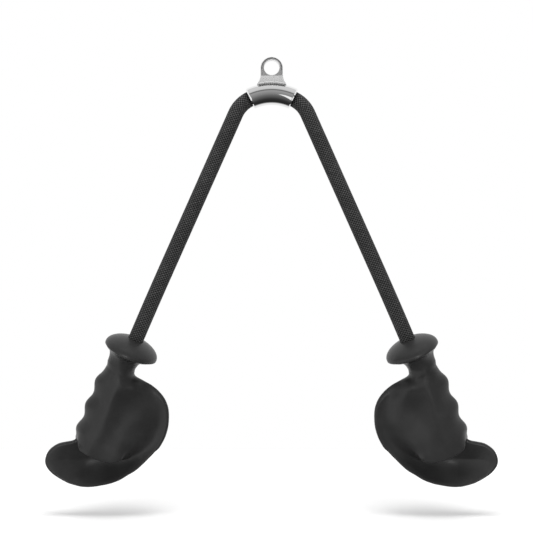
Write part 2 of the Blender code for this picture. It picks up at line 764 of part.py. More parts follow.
def handle_fittings():
    washer_low = COUNTERBORE_TOP + FIT_GAP
    ferrule_low = washer_low + WASHER_THICKNESS + FIT_GAP
    ferrule_high = ferrule_low + FERRULE_LENGTH
    plug_low = ferrule_high + FIT_GAP
    plug_high = plug_low + PLUG_THICKNESS
    bore_sleeve_high = COUNTERBORE_TOP
    return (
        (
            "bore_sleeve",
            PLASTIC,
            (
                (BORE_SLEEVE_RADIUS, BORE_SLEEVE_TOP),
                (BORE_SLEEVE_RADIUS, bore_sleeve_high),
                (BORE_RADIUS, bore_sleeve_high),
                (BORE_RADIUS, BORE_SLEEVE_TOP),
            ),
        ),
        (
            "washer",
            STEEL,
            (
                (WASHER_RADIUS, washer_low),
                (WASHER_RADIUS, washer_low + WASHER_THICKNESS),
                (BORE_RADIUS, washer_low + WASHER_THICKNESS),
                (BORE_RADIUS, washer_low),
            ),
        ),
        (
            "ferrule",
            ALLOY,
            (
                (FERRULE_RADIUS, ferrule_low),
                (FERRULE_RADIUS, ferrule_high),
                (BORE_RADIUS, ferrule_high),
                (BORE_RADIUS, ferrule_low),
            ),
        ),
    ), (ferrule_high, plug_low, plug_high)


def make_fittings(matrix):
    rings, (ferrule_high, plug_low, plug_high) = handle_fittings()
    for name, material, profile in rings:
        mesh = turned_mesh(name, profile, ROUND_SIDES)
        mesh.transform(matrix)
        carrier = swing_pivot() if name == "ferrule" else matrix.translation
        add_pair(name, mesh, material, carrier)
    plug = cylinder_mesh("toe_plug", WASHER_RADIUS, plug_low, plug_high, ROUND_SIDES)
    plug.transform(matrix)
    add_pair("toe_plug", plug, RUBBER, matrix.translation)
    end = cylinder_mesh("rope_end", ROPE_RADIUS, FIT_GAP, ferrule_high, 12)
    end.transform(matrix)
    add_pair("rope_end", end, ROPE, swing_pivot())


def add_pair(name, mesh, material, pivot):
    """The left piece and its mirror image, each with its origin at the pivot of the joint that carries it."""
    twin = mirrored(mesh, name + "_right")
    for side, half, at in (("_left", mesh, pivot), ("_right", twin, Vector((-pivot.x, pivot.y, pivot.z)))):
        half.transform(Matrix.Translation(-at))
        add_object(name + side, half, PARTS, material).location = at


def make_rope():
    sleeve_end = SLEEVE_HALF_SWEEP - FIT_GAP / SLEEVE_RADIUS
    inside = curve_mesh(
        "rope_in_sleeve", sleeve_arc(sleeve_end, SLEEVE_STATIONS), ROPE_RADIUS, ROPE_ROUND_STEPS
    )
    add_object("rope_in_sleeve", inside, PARTS, ROPE)
    swing_end = BEND_LENGTH + SWING_STRETCH
    whole = BEND_LENGTH + LEG_STRAIGHT
    for name, start, end, step, pivot in (
        ("rope_bend", FIT_GAP, BEND_LENGTH, BEND_STEP, bend_point(0.5)),
        ("rope_swing", BEND_LENGTH + FIT_GAP, swing_end, ROPE_STEP / 2, swing_pivot()),
        ("rope_leg", swing_end + FIT_GAP, whole, ROPE_STEP, swing_pivot()),
    ):
        mesh = curve_mesh(name, stretch(start, end, step), ROPE_RADIUS, ROPE_ROUND_STEPS)
        add_pair(name, mesh, ROPE, pivot)


clear_scene()
PARTS = bpy.data.collections.new("triceps_rope_attachment")
CUTTERS = bpy.data.collections.new("cutters")
bpy.context.scene.collection.children.link(PARTS)
bpy.context.scene.collection.children.link(CUTTERS)
STEEL = make_material("polished steel", (0.55, 0.55, 0.56), 1.0, 0.2)
ALLOY = make_material("crimped aluminium", (0.62, 0.62, 0.63), 1.0, 0.4)
ROPE = make_material("braided rope", (0.045, 0.045, 0.048), 0.0, 0.8)
RUBBER = make_material("moulded rubber", (0.03, 0.03, 0.032), 0.0, 0.55)
PLASTIC = make_material("moulded nylon", (0.2, 0.2, 0.21), 0.0, 0.45)

make_eye()
add_object(
    "hanger_sleeve",
    bent_tube("hanger_sleeve", SLEEVE_OUTER_RADIUS, SLEEVE_BORE_RADIUS, SLEEVE_LIP_CHAMFER),
    PARTS,
    STEEL,
)
make_welds(SLEEVE_OUTER_RADIUS)
make_rope()
add_pair("handle", make_handle(), RUBBER, handle_matrix().translation)
make_fittings(handle_matrix())
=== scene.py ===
import json
import math

import bpy
import bmesh
import numpy as np
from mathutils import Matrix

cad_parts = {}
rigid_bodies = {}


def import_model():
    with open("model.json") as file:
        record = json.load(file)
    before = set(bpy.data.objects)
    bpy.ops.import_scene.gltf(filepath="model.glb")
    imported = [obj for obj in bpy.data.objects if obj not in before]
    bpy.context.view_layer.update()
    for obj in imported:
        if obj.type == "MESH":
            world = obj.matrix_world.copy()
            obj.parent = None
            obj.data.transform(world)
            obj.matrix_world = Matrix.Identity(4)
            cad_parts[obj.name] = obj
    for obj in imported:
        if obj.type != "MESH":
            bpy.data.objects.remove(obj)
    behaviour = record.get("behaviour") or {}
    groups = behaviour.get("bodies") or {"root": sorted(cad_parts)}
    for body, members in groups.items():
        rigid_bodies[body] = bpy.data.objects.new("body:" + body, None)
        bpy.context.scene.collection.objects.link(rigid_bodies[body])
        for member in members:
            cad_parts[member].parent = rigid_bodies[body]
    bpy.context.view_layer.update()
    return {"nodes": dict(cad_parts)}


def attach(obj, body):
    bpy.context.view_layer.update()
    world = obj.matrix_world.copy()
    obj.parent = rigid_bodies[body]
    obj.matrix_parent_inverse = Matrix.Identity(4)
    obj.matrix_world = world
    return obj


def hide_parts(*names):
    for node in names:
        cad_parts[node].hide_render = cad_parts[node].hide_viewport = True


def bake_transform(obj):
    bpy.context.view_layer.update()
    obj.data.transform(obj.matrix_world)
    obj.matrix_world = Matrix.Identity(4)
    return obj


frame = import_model()
print("frame loaded:", len(frame["nodes"]), "nodes")

mm = 0.001
deg = math.pi / 180


# colour and node helpers

multiply = {"operation": "MULTIPLY"}
smooth = {"interpolation_type": "SMOOTHSTEP"}


def srgb(code):  # a hex colour as written on screen, turned to the linear values that nodes take
    parts = [int(code[i : i + 2], 16) / 255 for i in (1, 3, 5)]
    return tuple(c / 12.92 if c <= 0.04045 else ((c + 0.055) / 1.055) ** 2.4 for c in parts) + (1.0,)


def addNode(tree, kind, settings=None, inputs=None, stops=None):
    # one node: its settings, values or links for its sockets, and a ramp's stops as places and hex colours
    node = tree.nodes.new("ShaderNode" + kind)
    for key, value in (settings or {}).items():
        setattr(node, key, value)
    for key, value in (inputs or {}).items():
        if isinstance(value, bpy.types.NodeSocket):
            tree.links.new(value, node.inputs[key])
        else:
            node.inputs[key].default_value = value
    if stops:
        elements = node.color_ramp.elements
        while len(elements) > 1:
            elements.remove(elements[-1])
        elements[0].position, elements[0].color = stops[0][0], srgb(stops[0][1])
        for place, colour in stops[1:]:
            elements.new(place).color = srgb(colour)
    return node


def newMaterial(name, roughness, metallic=0.0, colour="#808080"):
    material = bpy.data.materials.new(name)
    material.use_nodes = True
    shader = material.node_tree.nodes["Principled BSDF"]
    shader.inputs["Base Color"].default_value = srgb(colour)
    shader.inputs["Roughness"].default_value = roughness
    shader.inputs["Metallic"].default_value = metallic
    material.diffuse_color = srgb(colour)
    return material, material.node_tree, shader


def plainMaterial(name, look):  # one tone, and a roughness that follows a fine noise
    material, tree, shader = newMaterial(name, look["roughness"], look["metallic"], look["colour"])
    place = addNode(tree, "TexCoord").outputs["Object"]
    noise = addNode(tree, "TexNoise", None, {"Vector": place, **look["noise"]}).outputs["Fac"]
    varied = addNode(tree, "MapRange", None, {"Value": noise, **look["varied"]}).outputs[0]
    tree.links.new(varied, shader.inputs["Roughness"])
    return material


# mesh helpers


def smoothStep(x):
    x = np.clip(x, 0, 1)
    return x * x * (3 - 2 * x)


def smootherStep(x):
    x = np.clip(x, 0, 1)
    return x**3 * (10 - 15 * x + 6 * x * x)


def rise(value, start, width):  # from 0 at the start to 1 a width further on, by a smooth step
    return smoothStep((value - start) / width)


def bell(value, middle, width):
    return np.exp(-(((value - middle) / width) ** 2))


def smoothThrough(levels, values, at):  # a cubic through the points, with slopes from their neighbours
    x, y = np.asarray(levels, float), np.asarray(values, float)
    at = np.clip(np.asarray(at, float), x[0], x[-1])
    slope = np.gradient(y, x)
    i = np.clip(np.searchsorted(x, at, side="right") - 1, 0, len(x) - 2)
    width = x[i + 1] - x[i]
    s = (at - x[i]) / width
    return (
        y[i] * (1 + 2 * s) * (1 - s) ** 2
        + y[i + 1] * s**2 * (3 - 2 * s)
        + width * slope[i] * s * (1 - s) ** 2
        - width * slope[i + 1] * s**2 * (1 - s)
    )


def gridMesh(name, points, closeRows=False, values=None):
    # a skin over points[row, column], closed round its columns, and either capped at both ends or, with
    # closeRows, closed from its last row to its first. The values are carried by its points
    rows, columns = points.shape[:2]
    index = np.arange(rows * columns).reshape(rows, columns)
    down = np.roll(index, -1, axis=0) if closeRows else index[1:]
    here = index if closeRows else index[:-1]
    quads = np.stack([here, np.roll(here, -1, axis=1), np.roll(down, -1, axis=1), down], axis=-1)
    coords, faces = points.reshape(-1, 3), quads.reshape(-1, 4).tolist()
    if not closeRows:
        centre, first, last = rows * columns, index[0], index[-1]
        topCap = np.stack([np.roll(first, -1), first, np.full(columns, centre)], axis=-1)
        endCap = np.stack([last, np.roll(last, -1), np.full(columns, centre + 1)], axis=-1)
        coords = np.concatenate([coords, [points[0].mean(axis=0), points[-1].mean(axis=0)]])
        faces += topCap.tolist() + endCap.tolist()
    mesh = bpy.data.meshes.new(name)
    mesh.from_pydata(coords.tolist(), [], faces)
    work = bmesh.new()
    work.from_mesh(mesh)
    bmesh.ops.recalc_face_normals(work, faces=work.faces)
    work.to_mesh(mesh)
    work.free()
    for key, value in (values or {}).items():
        flat = value.reshape(-1).astype(np.float32)
        flat = np.concatenate([flat, np.full(len(coords) - len(flat), flat.mean(), np.float32)])
        mesh.attributes.new(key, "FLOAT", "POINT").data.foreach_set("value", flat)
    mesh.shade_smooth()
    return mesh


def mirrored(mesh, name):  # the mirror image in x = 0, with its faces turned out again
    copy = mesh.copy()
    copy.name = name
    coords = np.empty(len(copy.vertices) * 3, np.float32)
    copy.vertices.foreach_get("co", coords)
    coords[::3] *= -1
    copy.vertices.foreach_set("co", coords)
    copy.flip_normals()
    copy.update()
    return copy


def addPiece(name, mesh, body, material, slot, *nodes):
    piece = bpy.data.objects.new(name, mesh)
    bpy.context.scene.collection.objects.link(piece)
    mesh.materials.clear()
    mesh.materials.append(material)
    if body:
        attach(piece, body)
    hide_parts(*nodes)
    return piece


# camera: the photograph's frame is 573.5 mm wide at the rope's plane, seen from 1.2 m

cameraSettings = {
    "centre": (-5.6 * mm, 0, -213.6 * mm),
    "distance": 1.2,
    "width": 573.5 * mm,
    "sensor": 36,  # in millimetres, as Blender has it
    "clipEnd": 30,
}

camera = bpy.data.objects.new("camera", bpy.data.cameras.new("camera"))
bpy.context.scene.collection.objects.link(camera)
camera.location = (cameraSettings["centre"][0], -cameraSettings["distance"], cameraSettings["centre"][2])
camera.rotation_euler = (math.pi / 2, 0, 0)
camera.data.sensor_width = cameraSettings["sensor"]
camera.data.lens = cameraSettings["sensor"] * cameraSettings["distance"] / cameraSettings["width"]
camera.data.clip_end = cameraSettings["clipEnd"]
bpy.context.scene.camera = camera
bpy.context.scene.view_settings.view_transform = "Standard"


# rope: the route repeats the CAD's, from the middle of the sleeve to the collar of the left handle

route = {
    "sleeveRadius": 54.2 * mm,
    "eyeDrop": 82.4 * mm,
    "halfSweep": 25.8 * deg,
    "bendRadius": 32 * mm,
    "legAngle": 24.0 * deg,
    "legLength": 267 * mm,
    "leanLength": 80 * mm,
    "lean": 12 * deg,
    "swingLength": 40 * mm,
}
route["bendLength"] = route["bendRadius"] * (math.pi / 2 - route["legAngle"] - route["halfSweep"])
route["whole"] = route["bendLength"] + route["legLength"]
mouth = np.array(
    [
        -route["sleeveRadius"] * math.sin(route["halfSweep"]),
        0,
        route["sleeveRadius"] * math.cos(route["halfSweep"]) - route["eyeDrop"],
    ]
)
legDown = np.array([-math.sin(route["legAngle"]), 0, -math.cos(route["legAngle"])])
backward = np.array([0.0, 1, 0])


def ropeLine(s):
    # centre, side and outer directions of the rope at distances s from the left mouth, below 0 in the
    # sleeve: an arc in the sleeve, a tighter arc below the mouth, a straight leg, and an arc that leans
    # it back
    s = np.asarray(s, float)[:, None]
    inSleeve = route["halfSweep"] + np.minimum(s, 0) / route["sleeveRadius"]
    bend = np.clip(s, 0, route["bendLength"]) / route["bendRadius"]
    straight = np.clip(s - route["bendLength"], 0, route["legLength"] - route["leanLength"])
    leanRadius = route["leanLength"] / route["lean"]
    lean = np.maximum(s - route["bendLength"] - route["legLength"] + route["leanLength"], 0) / leanRadius
    turn = np.where(s < 0, inSleeve, route["halfSweep"] + bend)  # how far the tangent dips below level
    zero = np.zeros_like(s)
    tangent = np.concatenate([-np.cos(turn), zero, -np.sin(turn)], axis=1)
    arcDown = route["sleeveRadius"] * np.cos(inSleeve) - route["eyeDrop"]
    arcIn = np.concatenate([-route["sleeveRadius"] * np.sin(inSleeve), zero, arcDown], axis=1)
    start = route["halfSweep"]
    arcOut = mouth + route["bendRadius"] * np.concatenate(
        [math.sin(start) - np.sin(start + bend), zero, np.cos(start + bend) - math.cos(start)], axis=1
    )
    centre = np.where(s < 0, arcIn, arcOut)
    centre = centre + legDown * (straight + leanRadius * np.sin(lean))
    centre = centre + backward * leanRadius * (1 - np.cos(lean))
    side = np.where(lean > 0, np.cos(lean) * backward - np.sin(lean) * legDown, backward)
    tangent = np.where(lean > 0, np.cos(lean) * legDown + np.sin(lean) * backward, tangent)
    return centre, side, np.cross(tangent, side)


rope = {
    "radius": 8.4 * mm,
    "strands": 14,  # yarns each way round the rope, 3.7 mm apart
    "pitch": 1.5 * mm,  # length of one crossing along the rope
    "relief": 0.7 * mm,
    "yarnWidth": 0.98,  # of a yarn's share of the way round
    "ownHeight": 0.62,  # what the yarn's round back gives of the relief
    "crossHeight": 0.38,  # what going over and under gives
    "edgeFall": 0.25,  # how much further a yarn drops at its edges
    "families": 37,  # keeps the numbers of the two families of yarns apart
    "around": 128,
    "step": 0.3 * mm,
    "mouthShadowReach": 5 * mm,  # how far the painted shadow at the sleeve's mouth reaches down the rope
    "pathPoints": 24,  # in the path that the cord is given
}


def braidedStretch(name, start, end):
    # a tube whose radius follows two families of yarns that wind opposite ways and pass over one, under one.
    # Each yarn's height across itself is a half circle; along itself it swings by a cosine two crossings
    # long. The surface is the higher yarn of the two at each point
    rows = max(4, int(round((end - start) / rope["step"])) + 1)
    s = np.linspace(start, end, rows)
    centre, side, outer = ropeLine(s)
    turn = 2 * np.pi * np.arange(rope["around"]) / rope["around"]
    strand = turn[None, :] / (2 * np.pi) * rope["strands"]
    along = s[:, None] / rope["pitch"] / 2
    a, b = strand + along, strand - along
    heights = []
    for own, other, flip in ((a, b, 0.0), (b, a, 1.0)):
        across = 2 * (own - np.floor(own)) - 1
        wave = 0.5 + 0.5 * np.cos(np.pi * (other - 0.5 + np.floor(own) + flip))
        back = np.sqrt(np.maximum(1 - (across * rope["yarnWidth"]) ** 2, 0))
        heights.append(back * rope["ownHeight"] + wave * rope["crossHeight"] - rope["edgeFall"] * across**4)
    lift = np.maximum(heights[0], heights[1])
    yarn = np.where(heights[0] > heights[1], np.floor(a), np.floor(b) + rope["families"])
    shade = (np.sin(yarn * 12.9898) * 43758.5453) % 1  # scatters the yarns' numbers over 0 to 1
    radius = rope["radius"] - rope["relief"] * (1 - np.clip(lift, 0, 1))
    cos, sin = np.cos(turn)[None, :, None], np.sin(turn)[None, :, None]
    points = centre[:, None, :] + radius[..., None] * (cos * side[:, None, :] + sin * outer[:, None, :])
    # painted shadow next to the sleeve's mouth and inside the sleeve, carried as a point value
    rub = np.broadcast_to(1 - smoothStep(s[:, None] / rope["mouthShadowReach"]), lift.shape)
    return gridMesh(name, points, values={"lift": np.clip(lift, 0, 1), "yarn": shade, "rub": rub})


braidLook = {
    "roughness": 0.75,
    "gloss": 0.3,
    "depth": ((0.5, "#010101"), (0.64, "#101010"), (0.82, "#383838"), (1.0, "#5c5c5c")),  # painted shade by the yarns' height, from the gaps to the crowns
    "fibre": {"Scale": 900.0, "Detail": 4.0},  # tufts of 1.1 mm: real fibres are too fine to show
    "fibreTone": {"From Min": 0.3, "From Max": 0.7, "To Min": 0.7, "To Max": 1.25},
    "yarnTone": {"To Min": 0.78, "To Max": 1.15},
    "mouthShadowTone": {"To Min": 1.0, "To Max": 0.12},  # painted shadow: full tone away from the mouth, near black at it
    "relief": {"Strength": 0.35, "Distance": 0.4 * mm},
}


def ropeMaterial():
    # polyester braid, dyed black: dull yarns, painted shade that makes the gaps between them near-black, a
    # little grey from handling
    look = braidLook
    material, tree, shader = newMaterial("braided polyester", look["roughness"])
    shader.inputs["Specular IOR Level"].default_value = look["gloss"]
    place = addNode(tree, "TexCoord").outputs["Object"]
    lift = addNode(tree, "Attribute", {"attribute_name": "lift"}).outputs["Fac"]
    yarn = addNode(tree, "Attribute", {"attribute_name": "yarn"}).outputs["Fac"]
    rub = addNode(tree, "Attribute", {"attribute_name": "rub"}).outputs["Fac"]
    fibre = addNode(tree, "TexNoise", None, {"Vector": place, **look["fibre"]}).outputs["Fac"]
    # painted shade: the colour follows the yarns' height, near black where they sink into the gaps
    depth = addNode(tree, "ValToRGB", None, {"Fac": lift}, look["depth"]).outputs["Color"]
    vary = addNode(tree, "MapRange", None, {"Value": yarn, **look["yarnTone"]}).outputs[0]
    speck = addNode(tree, "MapRange", None, {"Value": fibre, **look["fibreTone"]}).outputs[0]
    # painted shadow: the rope turns near black next to the sleeve's mouths and inside the sleeve
    mouthShadowFactor = addNode(tree, "MapRange", None, {"Value": rub, **look["mouthShadowTone"]}).outputs[0]
    tone = addNode(tree, "Math", multiply, {0: vary, 1: speck}).outputs[0]
    tone = addNode(tree, "Math", multiply, {0: tone, 1: mouthShadowFactor}).outputs[0]
    colour = addNode(tree, "VectorMath", {"operation": "SCALE"}, {0: depth, "Scale": tone})
    relief = addNode(tree, "Bump", None, {"Height": fibre, **look["relief"]})
    tree.links.new(colour.outputs["Vector"], shader.inputs["Base Color"])
    tree.links.new(relief.outputs["Normal"], shader.inputs["Normal"])
    return material


braid = ropeMaterial()
bendEnd = route["bendLength"]
swingEnd = bendEnd + route["swingLength"]


def linePoint(s):
    return tuple(float(c) for c in ropeLine([s])[0][0])


sleeveSpan = route["sleeveRadius"] * route["halfSweep"]
coreLeft = braidedStretch("ropeCore_left", -sleeveSpan, 0.0)
addPiece("ropeCore_left", coreLeft, "hanger", braid, "rope", "rope_in_sleeve")
addPiece("ropeCore_right", mirrored(coreLeft, "ropeCore_right"), "hanger", braid, "rope", "rope_in_sleeve")
stretches = (("Bend", 0.0, bendEnd), ("Swing", bendEnd, swingEnd), ("Leg", swingEnd, route["whole"]))
for kind, start, end in stretches:
    leftMesh = braidedStretch("rope" + kind + "_left", start, end)
    for side in ("left", "right"):
        mesh = leftMesh if side == "left" else mirrored(leftMesh, "rope" + kind + "_right")
        node = "rope_" + kind.lower() + "_" + side
        body = "leg_" + side if kind == "Leg" else None
        piece = addPiece("rope" + kind + "_" + side, mesh, body, braid, "rope", node)
        if kind == "Bend":
            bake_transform(piece)
        elif kind == "Swing":
            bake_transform(piece)
print("rope done")


# handle: the same formulas as the CAD's skin, on a far finer grid

handle = {
    "collarRadius": 29.6 * mm,
    "collarDome": 13.2 * mm,
    "collarBoss": 1.6 * mm,  # how far the dome swells up round the rope
    "collarEdge": 2 * mm,
    "gripLength": 143.5 * mm,
    "gripDepth": 17 * mm,
    "fingerRound": 15 * mm,
    "thumbFall": 0.115,  # shares of the palm's reach over which the ridge falls off to each side
    "fingerFall": 0.12,
    "fingerDrop": 0.6,
    "grooveDepth": 1.8 * mm,
    "groovePitch": 29.5 * mm,
    "grooveLead": (0.7, 0.5),  # in pitches: how far before the first crest the grooves begin to fade in
    "grooveEnd": (0.93, 0.4),  # of the grip's length, and in pitches how long they fade out
    "firstCrest": 60 * mm,  # of the fingers' wave, from the rope's entry
    "palmReach": 70.5 * mm,
    "length": 176.3 * mm,
    "lift": 20 * mm,
    "wall": 6.6 * mm,
    "neckHalf": 16.5 * mm,
    "channelWidth": 30 * mm,
    "toeSlope": 6.5 * mm,
    "sideSlope": 24 * mm,
    # how much wider the ridge gets: amount, then start and width of the change, down the grip
    "softToe": (0.6, 0.5, 0.4),
    "softNeck": (1.4, 0.16, 0.3),
    # the rest in pairs: where a smooth step starts, and its width. Shares of the grip's length ...
    "fingersFrom": (0.14, 0.3),
    "gentleFrom": (0.2, 0.4),
    "toeFrom": (0.74, 0.2),
    # ... of the palm's reach ...
    "palmSideFrom": (0.5, 0.3),
    "evenAcross": (0.2, 0.25),
    # ... of the way across ...
    "thumbSideFrom": (0.35, 0.4),
    # ... and of the whole length
    "evenDown": (0.62, 0.1),
    "neckTo": (0.17, 0.15),
    "fingersTo": (0.74, 0.05),
    # in shares of the palm's reach
    "bowlStart": 0.75,  # how far to the fingers' side the dish starts to deepen
    "crestWidth": 0.17,
    "swellBell": (0.47, 0.2),  # middle, width
    "backWidth": 0.32,
    "backEase": 1.4,  # the back's slope, in side slopes
    "rows": 250,
    "around": 300,
    "lastRow": 24.92,  # the rows stop just short of the outline's last, and lie closer at both ends
    "rowBunching": 0.03,
    "edgePoints": 300,
    "smoothing": 90,  # how many times the palm side is evened out
    "evenRate": 0.24,
    "evenLeast": 0.12,
    # the dome's rings begin beside the rope, and the skirt's lead from the collar's rim to the neck
    "domeFrom": 0.2,
    "domeRings": 40,
    "bossFall": 1.5,
    "skirt": (0.02, 0.97, 30),  # first and last share, number of rings
    "skirtIn": 2.2,
    "skirtDown": 1.6,
    "skirtTurn": 8,  # how soon the skirt has come round the collar's edge
    "entry": 8.6 * mm,
    "entryStart": -8 * mm,
    "entryDepth": 2.6 * mm,
    "entryOverlap": 1 * mm,
    "bore": 9.8 * mm,
    "boreOverlap": 4 * mm,
    "counterbore": 12.8 * mm,
    "counterboreTop": 112 * mm,
    "cutterAround": 128,
    "sharpFrom": 50 * deg,
    # rows from the neck to the bottom: finger end (across, down, rim height), palm end (the same), and sag,
    # as shares of palmReach, length and lift
    "outline": (
        (-0.275, 0.190, 0.00, 0.171, 0.187, 0.00, 0.000),
        (-0.258, 0.218, 0.00, 0.206, 0.217, 0.02, 0.000),
        (-0.262, 0.233, 0.00, 0.340, 0.224, 0.05, 0.000),
        (-0.270, 0.247, 0.00, 0.500, 0.231, 0.07, 0.000),
        (-0.283, 0.261, 0.00, 0.645, 0.248, 0.09, 0.000),
        (-0.297, 0.278, 0.00, 0.770, 0.276, 0.10, 0.000),
        (-0.308, 0.303, 0.00, 0.861, 0.312, 0.11, 0.000),
        (-0.312, 0.343, 0.00, 0.916, 0.347, 0.12, 0.003),
        (-0.312, 0.394, 0.00, 0.965, 0.393, 0.13, 0.008),
        (-0.312, 0.453, 0.00, 1.001, 0.442, 0.14, 0.018),
        (-0.312, 0.517, 0.00, 1.018, 0.497, 0.16, 0.034),
        (-0.308, 0.580, 0.00, 1.015, 0.540, 0.18, 0.054),
        (-0.305, 0.643, 0.00, 1.001, 0.582, 0.21, 0.074),
        (-0.300, 0.700, 0.00, 0.966, 0.617, 0.25, 0.090),
        (-0.285, 0.742, 0.00, 0.938, 0.649, 0.29, 0.099),
        (-0.268, 0.764, 0.00, 0.908, 0.679, 0.34, 0.100),
        (-0.310, 0.785, 0.05, 0.867, 0.721, 0.40, 0.092),
        (-0.390, 0.805, 0.12, 0.808, 0.772, 0.46, 0.078),
        (-0.482, 0.832, 0.18, 0.727, 0.819, 0.50, 0.062),
        (-0.552, 0.872, 0.24, 0.637, 0.872, 0.53, 0.044),
        (-0.584, 0.914, 0.30, 0.521, 0.919, 0.55, 0.028),
        (-0.569, 0.961, 0.36, 0.389, 0.959, 0.56, 0.014),
        (-0.510, 0.994, 0.40, 0.269, 0.991, 0.55, 0.006),
        (-0.402, 1.017, 0.44, 0.145, 1.014, 0.54, 0.002),
        (-0.285, 1.027, 0.47, 0.040, 1.025, 0.52, 0.000),
        (-0.176, 1.032, 0.48, -0.080, 1.033, 0.50, 0.000),
    ),
    # the edge where the grip rises out of the dish
    "bodyEdge": (
        (-0.85, 0.00), (-0.85, 0.71), (-0.40, 0.735), (-0.268, 0.764), (-0.152, 0.804), (-0.037, 0.813),
        (0.079, 0.818), (0.195, 0.820), (0.311, 0.8145), (0.426, 0.8005), (0.542, 0.778), (0.660, 0.742),
        (0.770, 0.680), (0.87, 0.590), (0.91, 0.490), (0.88, 0.420), (0.80, 0.355), (0.68, 0.300),
        (0.52, 0.262), (0.42, 0.230), (0.42, 0.00),
    ),
    # down the handle: ridge, back, thumb shelf, places of ridge and crest, crest, palm swell, dish floor
    "depths": (
        (0.18, 0.88, 0.88, 0.82, 0.01, 0.30, 0.00, 0.00, 0.00),
        (0.24, 0.90, 0.88, 0.66, 0.03, 0.42, 0.02, 0.00, 0.02),
        (0.30, 0.95, 0.94, 0.50, 0.04, 0.54, 0.05, 0.00, -0.02),
        (0.38, 1.00, 1.00, 0.34, 0.04, 0.62, 0.10, 0.04, -0.08),
        (0.48, 1.02, 1.00, 0.28, 0.06, 0.66, 0.12, 0.16, -0.12),
        (0.58, 1.04, 1.00, 0.37, 0.07, 0.68, 0.06, 0.28, -0.12),
        (0.68, 1.06, 1.02, 0.53, 0.05, 0.66, 0.00, 0.24, -0.20),
        (0.76, 1.06, 1.06, 0.74, 0.04, 0.60, 0.00, 0.10, -0.38),
        (0.82, 1.05, 1.12, 0.84, 0.02, 0.50, 0.00, 0.00, -0.54),
        (1.00, 1.00, 1.15, 0.90, 0.00, 0.30, 0.00, 0.00, -0.50),
    ),
}


def outlineEnds(places):
    # both ends and the sag of the rows at these places, with three finger grooves as a cosine down that side
    table = np.asarray(handle["outline"])
    scale = (handle["palmReach"], handle["length"], handle["lift"]) * 2 + (handle["length"],)
    rows = np.arange(len(table))
    ends = np.stack([smoothThrough(rows, table[:, k], places) * scale[k] for k in range(7)], axis=1)
    down, pitch = ends[:, 1], handle["groovePitch"]
    wave = np.cos(2 * np.pi * (down - handle["firstCrest"]) / pitch)
    lead, end = handle["grooveLead"], handle["grooveEnd"]
    fadeIn = smoothStep((down - handle["firstCrest"] + pitch * lead[0]) / (pitch * lead[1]))
    fadeOut = smoothStep((handle["gripLength"] * end[0] - down) / (pitch * end[1]))
    ends[:, 0] -= handle["grooveDepth"] * wave * fadeIn * fadeOut
    return ends[:, :3], ends[:, 3:6], ends[:, 6:]


def distanceTo(line, points):  # the shortest distance from each point to a line of segments
    start, along = line[:-1], np.diff(line, axis=0)
    length = (along**2).sum(axis=1)
    best = np.full(points.shape[:-1], np.inf)
    for k in range(len(start)):
        gap = points - start[k]
        share = np.clip((gap * along[k]).sum(axis=-1) / length[k], 0, 1)
        best = np.minimum(best, ((gap - share[..., None] * along[k]) ** 2).sum(axis=-1))
    return np.sqrt(best)


def insideOf(line, points):  # counts how often a ray to one side crosses the closed line
    crossings = np.zeros(points.shape[:-1], int)
    for (x1, y1), (x2, y2) in zip(line[:-1], line[1:]):
        if y1 != y2:
            spans = (y1 > points[..., 1]) != (y2 > points[..., 1])
            crossings += spans & (points[..., 0] < x1 + (points[..., 1] - y1) / (y2 - y1) * (x2 - x1))
    return crossings % 2 == 1


def bodyEdge():  # a cubic through the points of the edge, closed, with about four places to a stretch
    table = np.asarray(handle["bodyEdge"]) * (handle["palmReach"], handle["length"])
    places = np.linspace(0, len(table) - 1, 4 * len(table))
    line = np.stack([smoothThrough(np.arange(len(table)), table[:, k], places) for k in range(2)], axis=1)
    return np.concatenate([line, line[:1]])


def skinHeights(across, down, rim, levelRim):
    # front and back heights: a bowl that rises to the rim by a parabola, and inside the body's edge the
    # body: a ridge that falls to both sides by (1 + u) e^-u, to the thumb's shelf and to the fingers, and
    # two bell curves, the crest and the palm swell
    table = np.asarray(handle["depths"])
    ridge, behind, shelf, ridgeAt, crestAt, crest, swell, floor = (
        smoothThrough(table[:, 0], table[:, k], down / handle["length"]) for k in range(1, 9)
    )
    gripDepth, wall, sideSlope = handle["gripDepth"], handle["wall"], handle["sideSlope"]
    points = np.stack([across, down], axis=-1)
    share = across / handle["palmReach"]
    bowl = np.clip(distanceTo(rim, points) / handle["channelWidth"], 0, 1)
    deep = smootherStep(share + handle["bowlStart"])
    dish = levelRim + (floor * handle["lift"] - levelRim) * bowl * (2 - bowl) * deep
    level = down / handle["gripLength"]
    toe, neck = handle["softToe"], handle["softNeck"]
    soft = 1 + toe[0] * rise(level, *toe[1:]) + neck[0] * (1 - rise(level, *neck[1:]))
    thumb = np.maximum(share - ridgeAt, 0) / (handle["thumbFall"] * soft)
    fingers = np.maximum(ridgeAt - share, 0) / (handle["fingerFall"] * soft)
    fingerDrop = handle["fingerDrop"] * rise(level, *handle["fingersFrom"])
    body = shelf + (1 - shelf) * (1 + thumb) * np.exp(-thumb)
    body *= 1 - fingerDrop * (1 - (1 + fingers) * np.exp(-fingers))
    body *= ridge * gripDepth
    body += crest * gripDepth * bell(share, crestAt, handle["crestWidth"])
    body += swell * gripDepth * bell(share, *handle["swellBell"])
    back = -behind * gripDepth * (0.5 + 0.5 * bell(np.maximum(share, 0), 0, handle["backWidth"]))
    edge = bodyEdge()
    depth = distanceTo(edge, points) * np.where(insideOf(edge, points), 1, -1)
    atToe = rise(level, *handle["toeFrom"]) * (1 - rise(share, *handle["palmSideFrom"]))
    gentle = rise(level, *handle["gentleFrom"]) * (1 - atToe)
    frontShare = smootherStep(depth / (handle["toeSlope"] + (sideSlope - handle["toeSlope"]) * gentle))
    backShare = smoothStep((depth + sideSlope / 2) / (sideSlope * handle["backEase"]))
    front = dish + (body - dish) * frontShare
    rear = (dish - wall) * (1 - backShare) + back * backShare
    return front, rear, (dish - wall / 2) * (1 - backShare)


